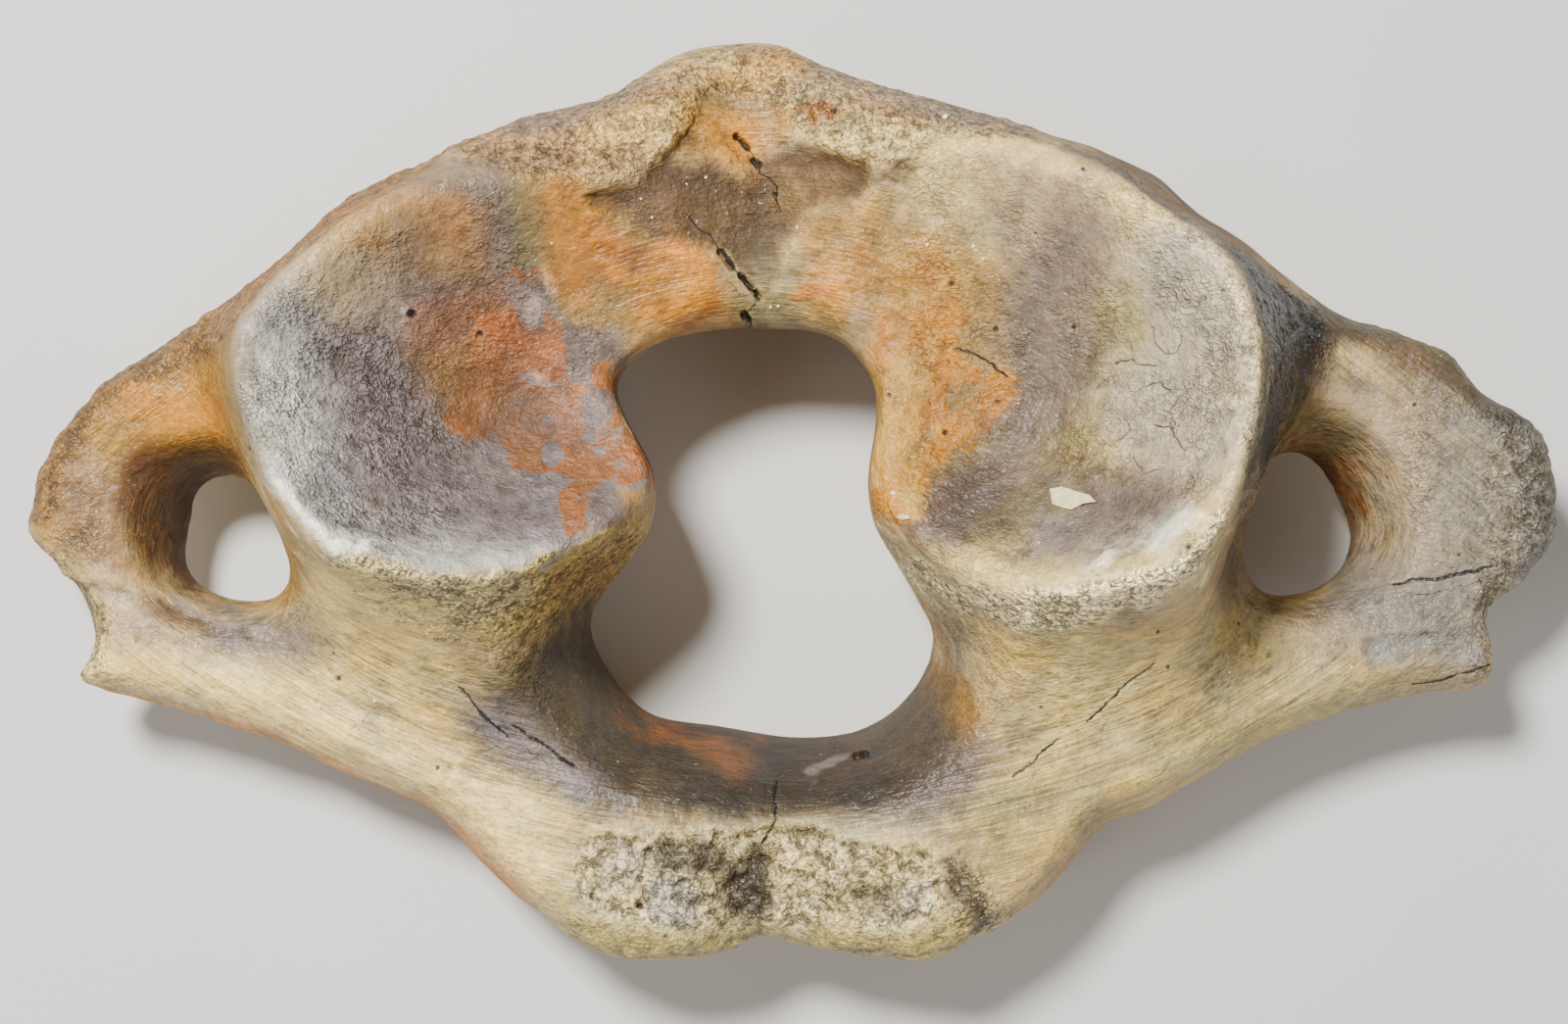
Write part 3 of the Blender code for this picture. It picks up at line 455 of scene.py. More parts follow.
# Iron stain with crisp borders, as (colour, outline), and the bare places inside it
RUST = [
    ("rust", [(-90, 26), (-88, 19.5), (-82, 17), (-77, 15), (-72, 11), (-66, 8), (-62, 4), (-59, -2),
        (-56, -8), (-52, -5), (-50, 3), (-46, 6), (-41, 3), (-37, 7), (-36, 13), (-41, 21), (-45, 30),
        (-47, 36), (-54, 43), (-62, 48), (-70, 52), (-78, 51), (-84, 42), (-88, 33)]),
    ("red", [(-82, 46), (-79, 50.5), (-72, 52), (-66, 45), (-62, 44), (-59.5, 37), (-62, 33), (-66, 35),
        (-71, 40), (-76, 42)]),
    ("red", [(-80, 39), (-74, 39), (-64, 28), (-54, 16), (-58, 15), (-68, 25)]),
    ("rust", [(-74, 61), (-70, 62), (-66, 61), (-66, 58), (-70, 58)]),
    ("orange", [(-58, 73), (-49, 74), (-45, 69), (-38, 67), (-28, 68), (-19, 66), (-18, 60), (-20, 51),
        (-34, 48), (-42, 50), (-44, 58), (-50, 60), (-54, 66)]),
    ("orange", [(24, 58), (29, 62), (38, 63), (44, 58), (46, 50), (44, 43), (50, 41), (57, 36), (61, 33),
        (58, 27), (52, 21), (46, 14), (41, 10), (37, 5), (33, -3), (28, -5), (24, -1), (22, 8), (22, 18),
        (24, 28), (24, 40), (23, 50)]),
    ("salmon", [(26, 50), (32, 46), (34, 30), (34, 14), (38, 10), (32, 2), (28, -2), (24, 6), (24, 26)]),
    ("orange", [(9, 65), (18, 66), (25, 60), (22, 52), (15, 55), (9, 57)]),
    ("orange", [(1, 59), (5, 58), (5, 54), (0, 55)]),
    ("rust", [(1, 106), (9, 106.5), (12, 103), (6, 102), (1, 103)]),
]
BARE_IN_RUST = [
    [(-71, 36), (-66, 34), (-62, 31), (-63, 29.5), (-68, 31)],
    [(-64.5, 24), (-62.5, 24.5), (-61.5, 21.5), (-63, 20.8), (-64.5, 21.5)],
    [(-66, 15.5), (-61, 16), (-58, 13), (-60, 10.5), (-64, 11)],
    [(-67, 7), (-62, 8.5), (-57, 7), (-58, 4), (-62, 4), (-66, 5)],
    [(-54, 19), (-51.5, 18.8), (-51, 16.6), (-53, 16.6)],
    [(-50.5, 15.5), (-48, 15), (-48.2, 12.8), (-50.4, 13)],
    [(-52, 4), (-40, 4), (-38, -2), (-40, -9), (-52, -8)],
    [(-62, 47), (-56, 46), (-50, 45), (-47, 41), (-50, 37), (-52, 33), (-50, 29), (-46, 29), (-46, 24),
        (-50, 21), (-55, 21), (-56, 26), (-53, 30), (-58, 32), (-59, 37), (-60, 42)],
    [(-75, 56), (-70, 57), (-66, 60), (-62, 60), (-62, 54), (-64, 47), (-67, 45), (-70, 48), (-73, 52)],
    [(43, 46), (47, 47), (52, 41), (55, 37), (50, 36), (45, 38)],
    [(42, 31), (47, 33), (50, 30), (45, 25), (41, 26)],
    [(33, 20), (37, 22), (39, 18), (35, 15)],
    [(30, 37), (33, 39), (36, 33), (32, 30)],
    [(25, 28), (29, 30), (31, 22), (27, 19)],
    [(30, 56), (34, 58), (35, 52), (31, 51)],
]
# Some dark places are painted shade: the line under the rim by the stump, and the insides of two cracks and
# two pits
DARK = [  # dark places with crisp borders: how dark, outline
    (0.5, [(-50, 3), (-48, 2), (-44, -2), (-42, -6), (-46, -7), (-48, -4), (-51, -2)]),
    # Painted shadow under the rim above the dark pit by the stump
    (0.8, [(-30, -90.5), (-22, -91), (-18, -91.5), (-22, -92.5), (-28, -91.5)]),
    (1.0, [(17.5, -69.8), (19.5, -68.4), (21.8, -68.2), (20.8, -69.4), (18.8, -70.2)]),
    (1.0, [(-54.5, -104), (-53, -104), (-51.5, -106), (-53, -106.5)]),
    (0.8, [(156.6, -30), (158.6, -30.2), (159, -32), (157, -32)]),
    (0.6, [(-4.6, -77), (-3.4, -77), (-3.2, -84), (-4.6, -84)]),
    (0.62, [(112, 60), (117, 60), (119, 42), (118, 22), (114, 14), (115, 26), (116, 42)]),
]
PALE = [  # pale scars with crisp borders
    [(2, -74.3), (6, -72), (12, -69.6), (17, -68.8), (14, -71), (7, -74)],
    [(-173, -23), (-168, -25), (-160, -30), (-156, -32), (-160, -31.5), (-168, -28)],
    [(-184, -9), (-181, -11), (-178, -14), (-180, -14), (-183, -12)],
    [(-12, 118), (-9, 119), (-6, 118.5), (-7, 117), (-10, 117)],
    [(156, -37), (162, -35.5), (173, -35), (175, -38), (168, -40.5), (160, -43), (156, -42)],
    [(179, -38), (185, -37), (190, -40), (188, -44), (181, -43)],
    [(-50, -77), (-44, -78), (-40, -80), (-46, -80)],
    [(-100, 51), (-98, 51.5), (-98, 48), (-100, 47)],
]
SPOTS = [  # pits: x, y, radius, depth
    (-81, 44.5, 0.9, 0.8), (-97.5, 49, 1.2, 1.0), (11.5, 103, 0.8, 0.8), (54, 46, 0.9, 0.6),
    (41, 19, 0.8, 0.8), (54.5, 27, 1.0, 0.5), (42.5, 58, 1.0, 0.5), (75, 85.5, 0.8, 0.6),
    (63.5, 70, 0.5, 0.4), (-122, -47, 0.8, 0.5), (-95, -71, 0.8, 0.6), (-123, -40, 0.5, 0.3),
    (98, -10.5, 1.0, 1.0), (-53, -105, 1.0, 2.0), (-40, -107, 1.3, 1.6), (-4, 82, 0.7, 1.0),
    (169, 27, 0.7, 0.5), (181, -13.5, 0.5, 0.4), (-136, 14, 0.8, 0.4), (26, 28.5, 0.7, 0.6),
    (74, 46, 0.9, 0.4), (121, -32, 0.5, 0.3), (95, -33, 0.6, 0.5), (100, -43, 0.6, 0.5),
    (67, -54, 0.5, 0.4),
]
CRACKS = [  # half width, depth, places along it
    (0.65, 2.8, [(-18.2, 66.6), (-16.6, 64.4), (-15, 62.2)]),
    (0.65, 3.0, [(-12.8, 60.6), (-11.4, 59), (-10, 57.2)]),
    (0.65, 2.6, [(-9.2, 56.2), (-8.2, 54.4)]),
    (0.65, 2.4, [(-12.2, 50.4), (-10.8, 48.6)]),
    (0.65, 2.2, [(-14, 97), (-12.4, 95.6), (-11, 94)]),
    (0.65, 2.4, [(-9.8, 91), (-8.2, 89.4)]),
    (0.65, 2.2, [(18.2, -69.4), (21.2, -68.8)]),
    (0.1, 0.1, [(-27, 76), (-24, 73), (-21, 71), (-20, 69), (-18, 66), (-15, 62), (-12, 60.5), (-10, 57.5),
        (-8.5, 55), (-9.5, 52.5), (-11.5, 50), (-11, 46)]),
    (0.12, 0.15, [(-13, 97), (-11, 95), (-9.5, 92), (-8, 90), (-7.5, 88), (-5, 86), (-3.5, 84), (-3.5, 81),
        (-3, 77.5)]),
    (0.25, 0.3, [(-88, -49), (-84, -54), (-80, -59), (-76, -62.5)]),
    (0.25, 0.3, [(-74, -59.5), (-68, -63), (-64, -66), (-58, -70)]),
    (0.3, 0.5, [(164, -21.5), (169, -20.5), (174, -20), (180, -19), (185, -18), (190, -16.5)]),
    (0.16, 0.3, [(-3.5, -76), (-4, -80), (-3.6, -84), (-5, -88), (-7, -91)]),
    (0.08, 0.15, [(92, 45), (93, 41), (95, 38), (98, 38), (99, 42), (97, 45)]),
    (0.08, 0.15, [(84, 16), (87, 19), (86, 23)]),
    (0.08, 0.15, [(98, 27), (96, 24), (97, 20)]),
    (0.08, 0.15, [(88, 12), (90, 8), (93, 9)]),
    (0.08, 0.15, [(80, 30), (83, 33), (84, 30)]),
    (0.1, 0.2, [(93, 20), (96, 19.5), (97, 17), (99, 14)]),
    (0.1, 0.2, [(84, 36.5), (88, 37), (90, 35.5), (93, 35)]),
    (0.1, 0.2, [(91, 30), (94, 30.5), (96, 28.5)]),
    (0.2, 0.2, [(60, -73), (66, -68), (72, -63)]),
    (0.25, 0.3, [(80, -58), (84, -54), (90, -47), (96, -42)]),
    (0.25, 0.3, [(170, -49), (178, -47.5), (184, -45.5), (190, -43.5)]),
    (0.2, 0.2, [(44, 40.5), (48, 39.5), (53, 37), (57, 34)]),
]
HOLLOWS = [  # sunk places: depth, softness, outline
    (1.8, 5, [(-50, 79), (-40, 83), (-31, 89), (-22, 88), (-10, 86), (2, 88), (4, 78), (-4, 66), (-10, 60),
        (-18, 68), (-32, 72), (-46, 74)]),
    (1.2, 3, [(-2, 92), (12, 92), (20, 86), (18, 80), (6, 80)]),
    (0.7, 2.5, [(23, 85), (28, 89), (34, 88), (30, 83)]),
    (1.4, 3, [(-18, 98), (-10, 97), (-5, 92), (-8, 88), (-14, 90)]),
]
LEDGES = [  # steps: height, reach, places along the step with the high side on the left
    (1.3, 7, [(-50, 81), (-46, 82), (-40, 85), (-36, 88.5), (-30, 93), (-28, 96)]),
    (0.5, 5, [(-29, 95), (-27, 99), (-24, 106), (-20, 111)]),
    (0.9, 6, [(21, 86), (18, 88.5), (12, 92), (6, 94.5), (0, 95.5)][::-1]),
    (0.8, 3, [(-52, -88.5), (-38, -87.5), (-20, -88.5), (-8, -87)]),
    (0.8, 3, [(-2, -87), (14, -89.5), (32, -91.5), (41, -95)]),
    (0.9, 4, [(-200, -20), (-180, -23), (-160, -31), (-148, -35)]),
    (0.5, 3, [(156, -44), (156, -37), (173, -34.5)]),
]
LUMPS = [  # raised ovals: x, y, half length, half width, turn in degrees, height
    (-125.5, 3.5, 2.6, 1.6, -50, 0.9), (-121, -2, 3.2, 1.6, -48, 1.2), (-116, -7, 3.6, 1.8, -42, 1.3),
    (-110, -10.5, 3.4, 1.8, -20, 1.0), (-105, -11, 2.4, 2.2, 0, 0.9), (95, -7, 9, 3.0, 40, 1.2),
    (79, -14, 5, 2.0, 30, 0.9), (78, -14, 6, 1.6, 38, 0.6), (110, 18, 2.2, 7, -15, 0.7),
    (-9, 118, 3.2, 1.6, -5, 1.4), (-16, 117, 4, 3, 10, 1.0), (-1, 115, 4, 3, -30, 1.0),
    (109, 25, 2, 2, 0, 0.8), (203, -9, 2.2, 1.6, 20, 0.9), (-65, 32.5, 4.0, 1.8, -35, 0.6),
    (-99, 49.5, 2.0, 1.6, 60, 0.8), (43, -85, 2.6, 3.6, 15, 0.4), (-63, 58, 2.0, 5.0, 20, 0.7),
    (-67, 50, 2.4, 5.0, -10, 0.7), (-31, 104, 5, 3, 20, 0.8),
]
STUMP_SLOPE = [(-60, -108), (-30, -113), (0, -114), (40, -112), (52, -104), (62, -112), (44, -130),
    (-66, -130)]
RIGHT_TIP = [(188, -10), (196, 0), (192, 16), (184, 28), (214, 30), (216, -20), (196, -30), (186, -28)]

# Kinds of surface, as (strength, outline): knobbly grains, high crust, smooth skin, leathery pebbles, bare
# plates, and where the finish is duller or glossier than elsewhere
GRAINY = [
    (1.0, LEFT_BAND),
    (1.0, RIGHT_BAND),
    (0.7, SPINE_STUMP),
    (0.4, STUMP_SLOPE),
    (0.7, SHOULDERS),
    (0.75, DARK_WALL),
    (0.6, LEFT_WALL),
    (0.6, [(-114, -18), (-100, -25), (-90, -31), (-78, -37), (-86, -38), (-98, -34), (-108, -28)]),
    (0.5, [(-80, -36), (-66, -33), (-60, -40), (-70, -44), (-80, -44)]),
    (0.8, [(42, -94), (50, -98), (60, -112), (52, -120), (44, -110)]),
    (0.35, [(-40, 104), (-22, 120), (0, 124), (30, 116), (60, 100), (38, 95), (22, 96), (12, 98), (0, 102),
        (-8, 108), (-22, 108)]),
    (0.5, [(112, 8), (117, 20), (118, 32), (116, 46), (110, 60), (100, 72), (88, 82), (86, 78), (98, 66),
        (108, 52), (111, 36), (109, 20)]),
    (0.7, [(-206, -10), (-192, -20), (-184, -30), (-186, -46), (-200, -54), (-216, -20)]),
    (0.5, RIGHT_TIP),
    (0.6, [(186, -16), (184, -48), (214, -48), (214, -20)]),
    (0.4, [(-150, 66), (-128, 84), (-100, 94), (-92, 84), (-118, 66), (-138, 50)]),
]
CRUSTY = [
    (1.9, SPINE_STUMP),
    (0.9, DARK_WALL),
    (0.7, LEFT_WALL),
    (0.7, STUMP_SLOPE),
    (0.5, SHOULDERS),
    (0.6, RIGHT_TIP),
    (0.6, [(160, 46), (186, 34), (196, 30), (186, 46), (160, 58)]),
]
SMOOTH_SKIN = [
    (0.85, LEFT_CUP),
    (0.85, RIGHT_CUP),
    (0.6, ROOF),
]
PEBBLED = [
    (1.0, [(-139, 46), (-138, 26), (-130, 6), (-112, -12), (-88, -17), (-66, -16), (-52, -10), (-46, 0),
        (-60, 2), (-74, 14), (-92, 22), (-98, 36), (-104, 50), (-122, 60)]),
    (0.4, LEFT_CUP),
    (0.6, RIGHT_CUP),
    (0.9, [(76, 88), (92, 80), (108, 66), (118, 44), (117, 20), (106, -6), (90, -18), (76, -18), (84, 0),
        (92, 20), (94, 40), (88, 62)]),
    (0.8, [(150, 40), (176, 34), (196, 26), (210, 0), (196, -20), (174, -18), (164, -8), (166, 10),
        (160, 26)]),
    (0.5, [(130, -30), (160, -22), (186, -24), (186, -42), (150, -44)]),
    (0.6, [(-204, -14), (-204, 12), (-190, 14), (-186, 0), (-184, -18)]),
    (0.2, SPINE_STUMP),
    (0.4, SHOULDERS),
    (0.4, STUMP_SLOPE),
    (0.4, [(-10, 92), (14, 92), (24, 84), (20, 66), (0, 70), (-20, 68), (-46, 74), (-40, 86)]),
]
BROKEN = [  # where the wings are broken off
    [(-214, -6), (-200, -14), (-190, -22), (-183, -34), (-186, -54), (-214, -54)],
    [(-214, 36), (-196, 34), (-204, 12), (-203, -8), (-214, -10)],
    [(187, -14), (186, -30), (184, -54), (214, -54), (214, 40), (196, 34), (203, 14), (204, -6)],
    [(150, 64), (158, 48), (184, 36), (196, 40), (176, 60)],
]
PLATES = [
    (1.0, [(-130, 7), (-124, 6), (-116, -5), (-104, -7), (-102, -14), (-112, -15), (-122, -5)]),
    (1.0, [(84, -15), (92, -14), (104, -3), (110, 4), (113, 20), (109, 22), (104, 6), (92, -4)]),
    (1.0, [(70, -18), (76, -12), (84, -8), (84, -14), (76, -18)]),
    (0.8, LOBE_PATCH),
    (0.8, [(29, -103), (34, -101), (41, -104), (40, -110), (32, -110)]),
]
DULL = [
    (1.4, [(-52, 80), (-30, 90), (12, 94), (24, 86), (18, 78), (0, 56), (-20, 66)]),
    (0.7, [(-98, 40), (-84, 60), (-64, 60), (-36, 12), (-50, -8), (-92, 22)]),
    (0.8, [(22, 70), (48, 62), (62, 36), (40, 6), (28, -6), (20, 10)]),
]
SHINY = [
    (0.6, [(-136, 44), (-120, 50), (-112, 20), (-96, 2), (-60, -6), (-56, -12), (-88, -18), (-116, -12)]),
    (0.7, LEFT_BAND),
    (0.6, RIGHT_BAND),
    (0.4, STUMP_SLOPE),
    (1.0, [(-128, 5), (-116, -5), (-104, -8), (-104, -14), (-114, -13), (-128, 0)]),
    (1.0, SPINE_STUMP),
    (0.5, SHOULDERS),
    (0.8, [(84, -14), (94, -16), (106, -4), (100, 4), (88, -6)]),
    (1.0, [(112, 62), (135, 60), (150, 48), (140, 36), (124, 30), (118, 20), (117, 40)]),
]

# Loose things that lie on the bone
FLAKES = [  # thickness, outline
    (0.8, [(67, 4), (70, 4.6), (74, 3.2), (76.6, 2.4), (78, 0.6), (75, 0.2), (72, -1.4), (70, -1),
        (67.4, 0)]),
    (0.9, [(27.4, -3.4), (29, -4.1), (31.2, -3.7), (30.8, -2.7), (28.6, -2.5)]),
]
SAND = [(40.5, 101, 0.8), (36, 68, 0.7), (48, 67.5, 0.5), (109, 54, 0.6), (27, 3, 0.6), (2, 73, 0.5),
    (-36, 75, 0.4), (-5, 52.3, 0.5), (-3, 52.6, 0.4), (45, -22, 0.5), (62, -25, 0.5), (12, 116, 0.6),
    (-62, 68, 0.4), (-22, 86, 0.4), (-27, 84, 0.3), (96, -29, 0.4), (-90, -38, 0.5), (152, -44, 0.4)]

# Joint faces of the rear side, as ovals: x, y, half length, half width, turn in degrees
REAR_FACES = [(-69, 10, 37, 45, 16), (55, 10, 37, 45, -16)]


def pick(objects):
    """Selects only these, the last one active."""
    bpy.ops.object.select_all(action="DESELECT")
    for obj in objects:
        obj.select_set(True)
    bpy.context.view_layer.objects.active = objects[-1]


def apply_modifier(obj, kind, **settings):
    """Adds one modifier with these settings and applies it."""
    modifier = obj.modifiers.new(kind.title(), kind)
    for name, value in settings.items():
        setattr(modifier, name, value)
    pick([obj])
    bpy.ops.object.modifier_apply(modifier=modifier.name)


def vectors_of(items, name):
    """One vector from each of a mesh's vertices, normals or faces."""
    found = np.empty(len(items) * 3, np.float32)
    items.foreach_get(name, found)
    return found.reshape(-1, 3)


def places_of(mesh):
    """Every vertex in millimetres."""
    return vectors_of(mesh.vertices, "co").astype(float) / MM


def normals_of(mesh):
    return vectors_of(mesh.vertex_normals, "vector").astype(float)


def move_to(mesh, places):
    """Puts the vertices at these places, kept inside the solid's box."""
    low, high = (np.array(corner) / MM for corner in SOLID_BOX)
    places = np.clip(places, low, high)
    mesh.vertices.foreach_set("co", (places * MM).astype(np.float32).ravel())
    mesh.update()


def ramp(value, low, high):
    """0 up to low, 1 from high on, smooth between."""
    t = np.clip((value - low) / (high - low), 0.0, 1.0)
    return t * t * (3 - 2 * t)


def lattice_value(c, seed):
    """A fixed value from 0 to 1 for each whole-numbered place."""
    x, y, z = (c * HASH_PRIMES).T
    n = x ^ y ^ z ^ (seed * 9349 + 17)
    n = ((n ^ (n >> 13)) & 0x7FFFFFFF) * 1274126177
    return ((n >> 16) & 0xFFFF) / 65535.0


def lattice_noise(points, seed):
    """Smooth fixed noise from 0 to 1 with one lump for each unit."""
    cell = np.floor(points).astype(np.int64)
    part = points - cell
    part = part * part * (3 - 2 * part)
    total = np.zeros(len(points))
    for corner in itertools.product((0, 1), repeat=3):
        share = np.prod(np.where(corner, part, 1 - part), axis=1)
        total += lattice_value(cell + corner, seed) * share
    return total


def knobs(points, size, seed):
    """Rounded lumps of uneven height with narrow grooves between them, from 0 to 1."""
    push = np.column_stack([swells(points, size * 1.6, octaves=2, seed=seed + n) for n in (1, 2, 3)])
    spots = points / size + 0.45 * push
    cell = np.floor(spots).astype(np.int64)
    nearest, tall = np.full(len(points), 9.0), np.zeros(len(points))
    for corner in itertools.product((-1, 0, 1), repeat=3):
        c = cell + corner
        centre = c + np.column_stack([lattice_value(c, seed + n) for n in (4, 5, 6)])
        away = np.sqrt(((centre - spots) ** 2).sum(axis=1))
        closer = away < nearest
        nearest[closer] = away[closer]
        tall[closer] = lattice_value(c, seed + 7)[closer]
    return (0.35 + 0.65 * tall) * np.clip(1 - (nearest / 0.85) ** 2, 0, 1)


def swells(points, size, octaves=3, seed=0):
    """Layered noise from about -1 to 1, its largest lumps this size in millimetres."""
    total, weight, all_weight = np.zeros(len(points)), 1.0, 0.0
    for octave in range(octaves):
        total += weight * (lattice_noise(points / size * 2 ** octave + 31.7 * octave, seed + octave) * 2 - 1)
        all_weight += weight
        weight *= 0.5
    return total / all_weight


def inside_by(places, outline):
    """How far each place lies inside a closed outline, in millimetres, and negative outside."""
    outline = np.array(outline, float)
    nearest = np.full(len(places), 1e9)
    within = np.zeros(len(places), bool)
    for a, b in zip(outline, np.roll(outline, -1, axis=0)):
        d = b - a
        t = np.clip((places - a) @ d / (d @ d), 0, 1)
        nearest = np.minimum(nearest, np.hypot(*(places - a - t[:, None] * d).T))
        spans = (a[1] > places[:, 1]) != (b[1] > places[:, 1])
        if a[1] != b[1]:
            within ^= spans & (places[:, 0] < a[0] + d[0] * (places[:, 1] - a[1]) / d[1])
    return np.where(within, nearest, -nearest)


def mask(places, outline, soft, even=False):
    """1 inside an outline and 0 outside it, over a border this soft. Even gives a straight ramp."""
    corners = np.array(outline, float)
    near = np.all((places > corners.min(axis=0) - soft) & (places < corners.max(axis=0) + soft), axis=1)
    found = np.zeros(len(places))
    if near.any():
        depth = inside_by(places[near], outline)
        found[near] = np.clip(0.5 + depth / (2 * soft), 0, 1) if even else ramp(depth, -soft, soft)
    return found


def beside(places, line):
    """Signed distance to an open line, positive on its left, and how far beyond its ends a place is."""
    line = np.array(line, float)
    nearest = np.full(len(places), 1e9)
    side, beyond = np.ones(len(places)), np.zeros(len(places))
    last = len(line) - 2
    for n, (a, b) in enumerate(zip(line[:-1], line[1:])):
        d = b - a
        along = (places - a) @ d / (d @ d)
        away = places - a - np.clip(along, 0, 1)[:, None] * d
        distance = np.hypot(*away.T)
        closer = distance < nearest - 1e-9
        nearest[closer] = distance[closer]
        turn = d[0] * (places[:, 1] - a[1]) - d[1] * (places[:, 0] - a[0])
        side[closer] = np.sign(turn[closer])
        past = np.zeros(len(places))
        if n == 0:
            past = np.maximum(past, -along)
        if n == last:
            past = np.maximum(past, along - 1)
        beyond[closer] = np.maximum(past, 0)[closer] * np.hypot(*d)
    return side * nearest, beyond


def strongest(places, zones, soft):
    """The strongest of several (strength, outline) zones at each place."""
    found = np.zeros(len(places))
    for strength, outline in zones:
        found = np.maximum(found, strength * mask(places, outline, soft))
    return found


def oval(places, x, y, half_x, half_y, turn):
    """Distance from the middle of an oval as a share of its reach."""
    c, s = math.cos(math.radians(turn)), math.sin(math.radians(turn))
    dx, dy = places[:, 0] - x, places[:, 1] - y
    return np.hypot((dx * c + dy * s) / half_x, (dy * c - dx * s) / half_y)


def warped(points, far=2.2, fine=0.7):
    """Plan places shifted about by noise, so that painted borders wander as real ones do."""
    shift = np.column_stack([swells(points, size=7, seed=seed) for seed in (11, 23)]) * far
    shift += np.column_stack([swells(points, size=2.2, octaves=2, seed=seed) for seed in (37, 41)]) * fine
    return points[:, :2] + shift


def front_share(out, full=0.0):
    """1 on the front side and 0 on the rear, changing where the surface turns under."""
    return ramp(out[:, 2], -0.45, full)


def carve(mesh, sizes):
    """Moves the surface in and out: swells, grains, torn knobs, broken rims, hollows, ledges and lumps."""
    points, out = places_of(mesh), normals_of(mesh)
    plan = warped(points, far=1.2, fine=0.4)
    upper = front_share(out)
    grainy = strongest(plan, GRAINY, soft=3.0) * upper
    crusty = strongest(plan, CRUSTY, soft=3.0) * upper
    skin = strongest(plan, SMOOTH_SKIN, soft=4.0) * upper
    height = swells(points, size=22, seed=1) * (sizes.undulation / MM)
    height += swells(points, size=7, seed=2) * 0.25 * (1 - 0.5 * skin)
    height += strongest(plan, PEBBLED, soft=4.0) * upper * swells(points, size=5.0, seed=9) * 0.4
    height += grainy * swells(points, size=2.4, octaves=2, seed=5) * 0.35 * (sizes.roughness / MM)
    rough = crusty > 0.01
    lumpy = knobs(points[rough], size=4.2, seed=6) * 1.6 + knobs(points[rough], size=9.0, seed=8) * 1.4
    lumpy -= 1.1
    height[rough] += crusty[rough] * lumpy * (sizes.roughness / MM)
    torn = np.zeros(len(points))
    for outline in BROKEN:
        torn = np.maximum(torn, mask(plan, outline, soft=3.0))
    steps = swells(points * (1, 1, 1.7), size=9, octaves=4, seed=7)
    steps = np.round(steps * 4) / 4 * 0.6 + steps * 0.4
    height += torn * steps * (sizes.broken / MM)
    for depth, soft, outline in HOLLOWS:
        height -= depth * mask(plan, outline, soft) * upper
    for rise, reach, line in LEDGES:
        d, beyond = beside(plan, line)
        height += rise * np.tanh(d / 1.5) * np.exp(-(d / reach) ** 2) * np.exp(-(beyond / 3) ** 2) * upper
    for x, y, half_x, half_y, turn, rise in LUMPS:
        share = oval(plan, x, y, half_x, half_y, turn)
        height += rise * (1 - ramp(share, 0.25, 1.25)) * upper
    for x, y, half_x, half_y, turn in REAR_FACES:
        share = oval(points, x, y, half_x, half_y, turn)
        face = (1 - ramp(share, 0.9, 1.05)) * (1 - upper)
        height *= 1 - 0.85 * face
    resting = ramp(points[:, 2], 0.2, 2.5)
    move_to(mesh, points + out * (height * resting)[:, None])


def near_detail(places, reach):
    """Whether each place lies this close to a pit or a crack."""
    found = np.zeros(len(places), bool)
    for x, y, radius, _ in SPOTS:
        found |= np.hypot(places[:, 0] - x, places[:, 1] - y) < radius + reach
    for half, _, line in CRACKS:
        d, _ = beside(places, line)
        found |= np.abs(d) < half + reach
    return found


def triangle_count(mesh):
    """How many triangles the faces make."""
    mesh.calc_loop_triangles()
    return len(mesh.loop_triangles)


def thin_out(bone, chosen, ratio):
    """Collapses edges among the chosen vertices until this share of the triangles is left."""
    group = bone.vertex_groups.new(name="thinned")
    group.add(np.flatnonzero(chosen).tolist(), 1.0, "REPLACE")
    apply_modifier(bone, "DECIMATE", ratio=ratio, vertex_group="thinned", vertex_group_factor=1.0)
    bone.vertex_groups.clear()


def refine(bone, reach):
    """Splits the faces round the pits and cracks, so that they can be cut finely."""
    mesh = bone.data
    centres = vectors_of(mesh.polygons, "center") / MM
    facing = vectors_of(mesh.polygons, "normal")[:, 2] > -0.2
    pick([bone])
    bpy.ops.object.mode_set(mode="EDIT")
    bpy.ops.mesh.select_mode(type="FACE")
    bpy.ops.mesh.select_all(action="DESELECT")
    bpy.ops.object.mode_set(mode="OBJECT")
    mesh.polygons.foreach_set("select", near_detail(centres[:, :2], reach) & facing)
    bpy.ops.object.mode_set(mode="EDIT")
    bpy.ops.mesh.subdivide(number_cuts=1, quadcorner="INNERVERT")
    bpy.ops.mesh.select_all(action="SELECT")
    bpy.ops.mesh.quads_convert_to_tris()
    bpy.ops.object.mode_set(mode="OBJECT")


def dig(mesh):
    """Sinks the pits and the cracks."""
    points, out = places_of(mesh), normals_of(mesh)
    upper = front_share(out)
    depths = np.zeros(len(points))
    for x, y, radius, depth in SPOTS:
        share = oval(points, x, y, radius, radius, 0)
        depths = np.maximum(depths, depth * (1 - ramp(share, 0.45, 1.3)))
    for half, depth, line in CRACKS:
        d, beyond = beside(points[:, :2], line)
        share = np.exp(-(d / (half * 0.8 + 0.2)) ** 2) * np.exp(-(beyond / 1.2) ** 2)
        depths = np.maximum(depths, depth * share)
    move_to(mesh, points - out * (depths * upper)[:, None])


def cavities(mesh, rounds):
    """How far each vertex lies below the surface smoothed by this many rounds, in millimetres."""
    places, out = places_of(mesh), normals_of(mesh)
    ends = np.empty(len(mesh.edges) * 2, np.int32)
    mesh.edges.foreach_get("vertices", ends)
    ends = ends.reshape(-1, 2)
    start, end = np.vstack([ends, ends[:, ::-1]]).T
    count = np.bincount(start, minlength=len(places))[:, None]
    smooth = places.copy()
    for _ in range(rounds):
        near = [np.bincount(start, smooth[end, axis], minlength=len(places)) for axis in range(3)]
        smooth = 0.4 * smooth + 0.6 * np.column_stack(near) / count
    return ((smooth - places) * out).sum(axis=1)


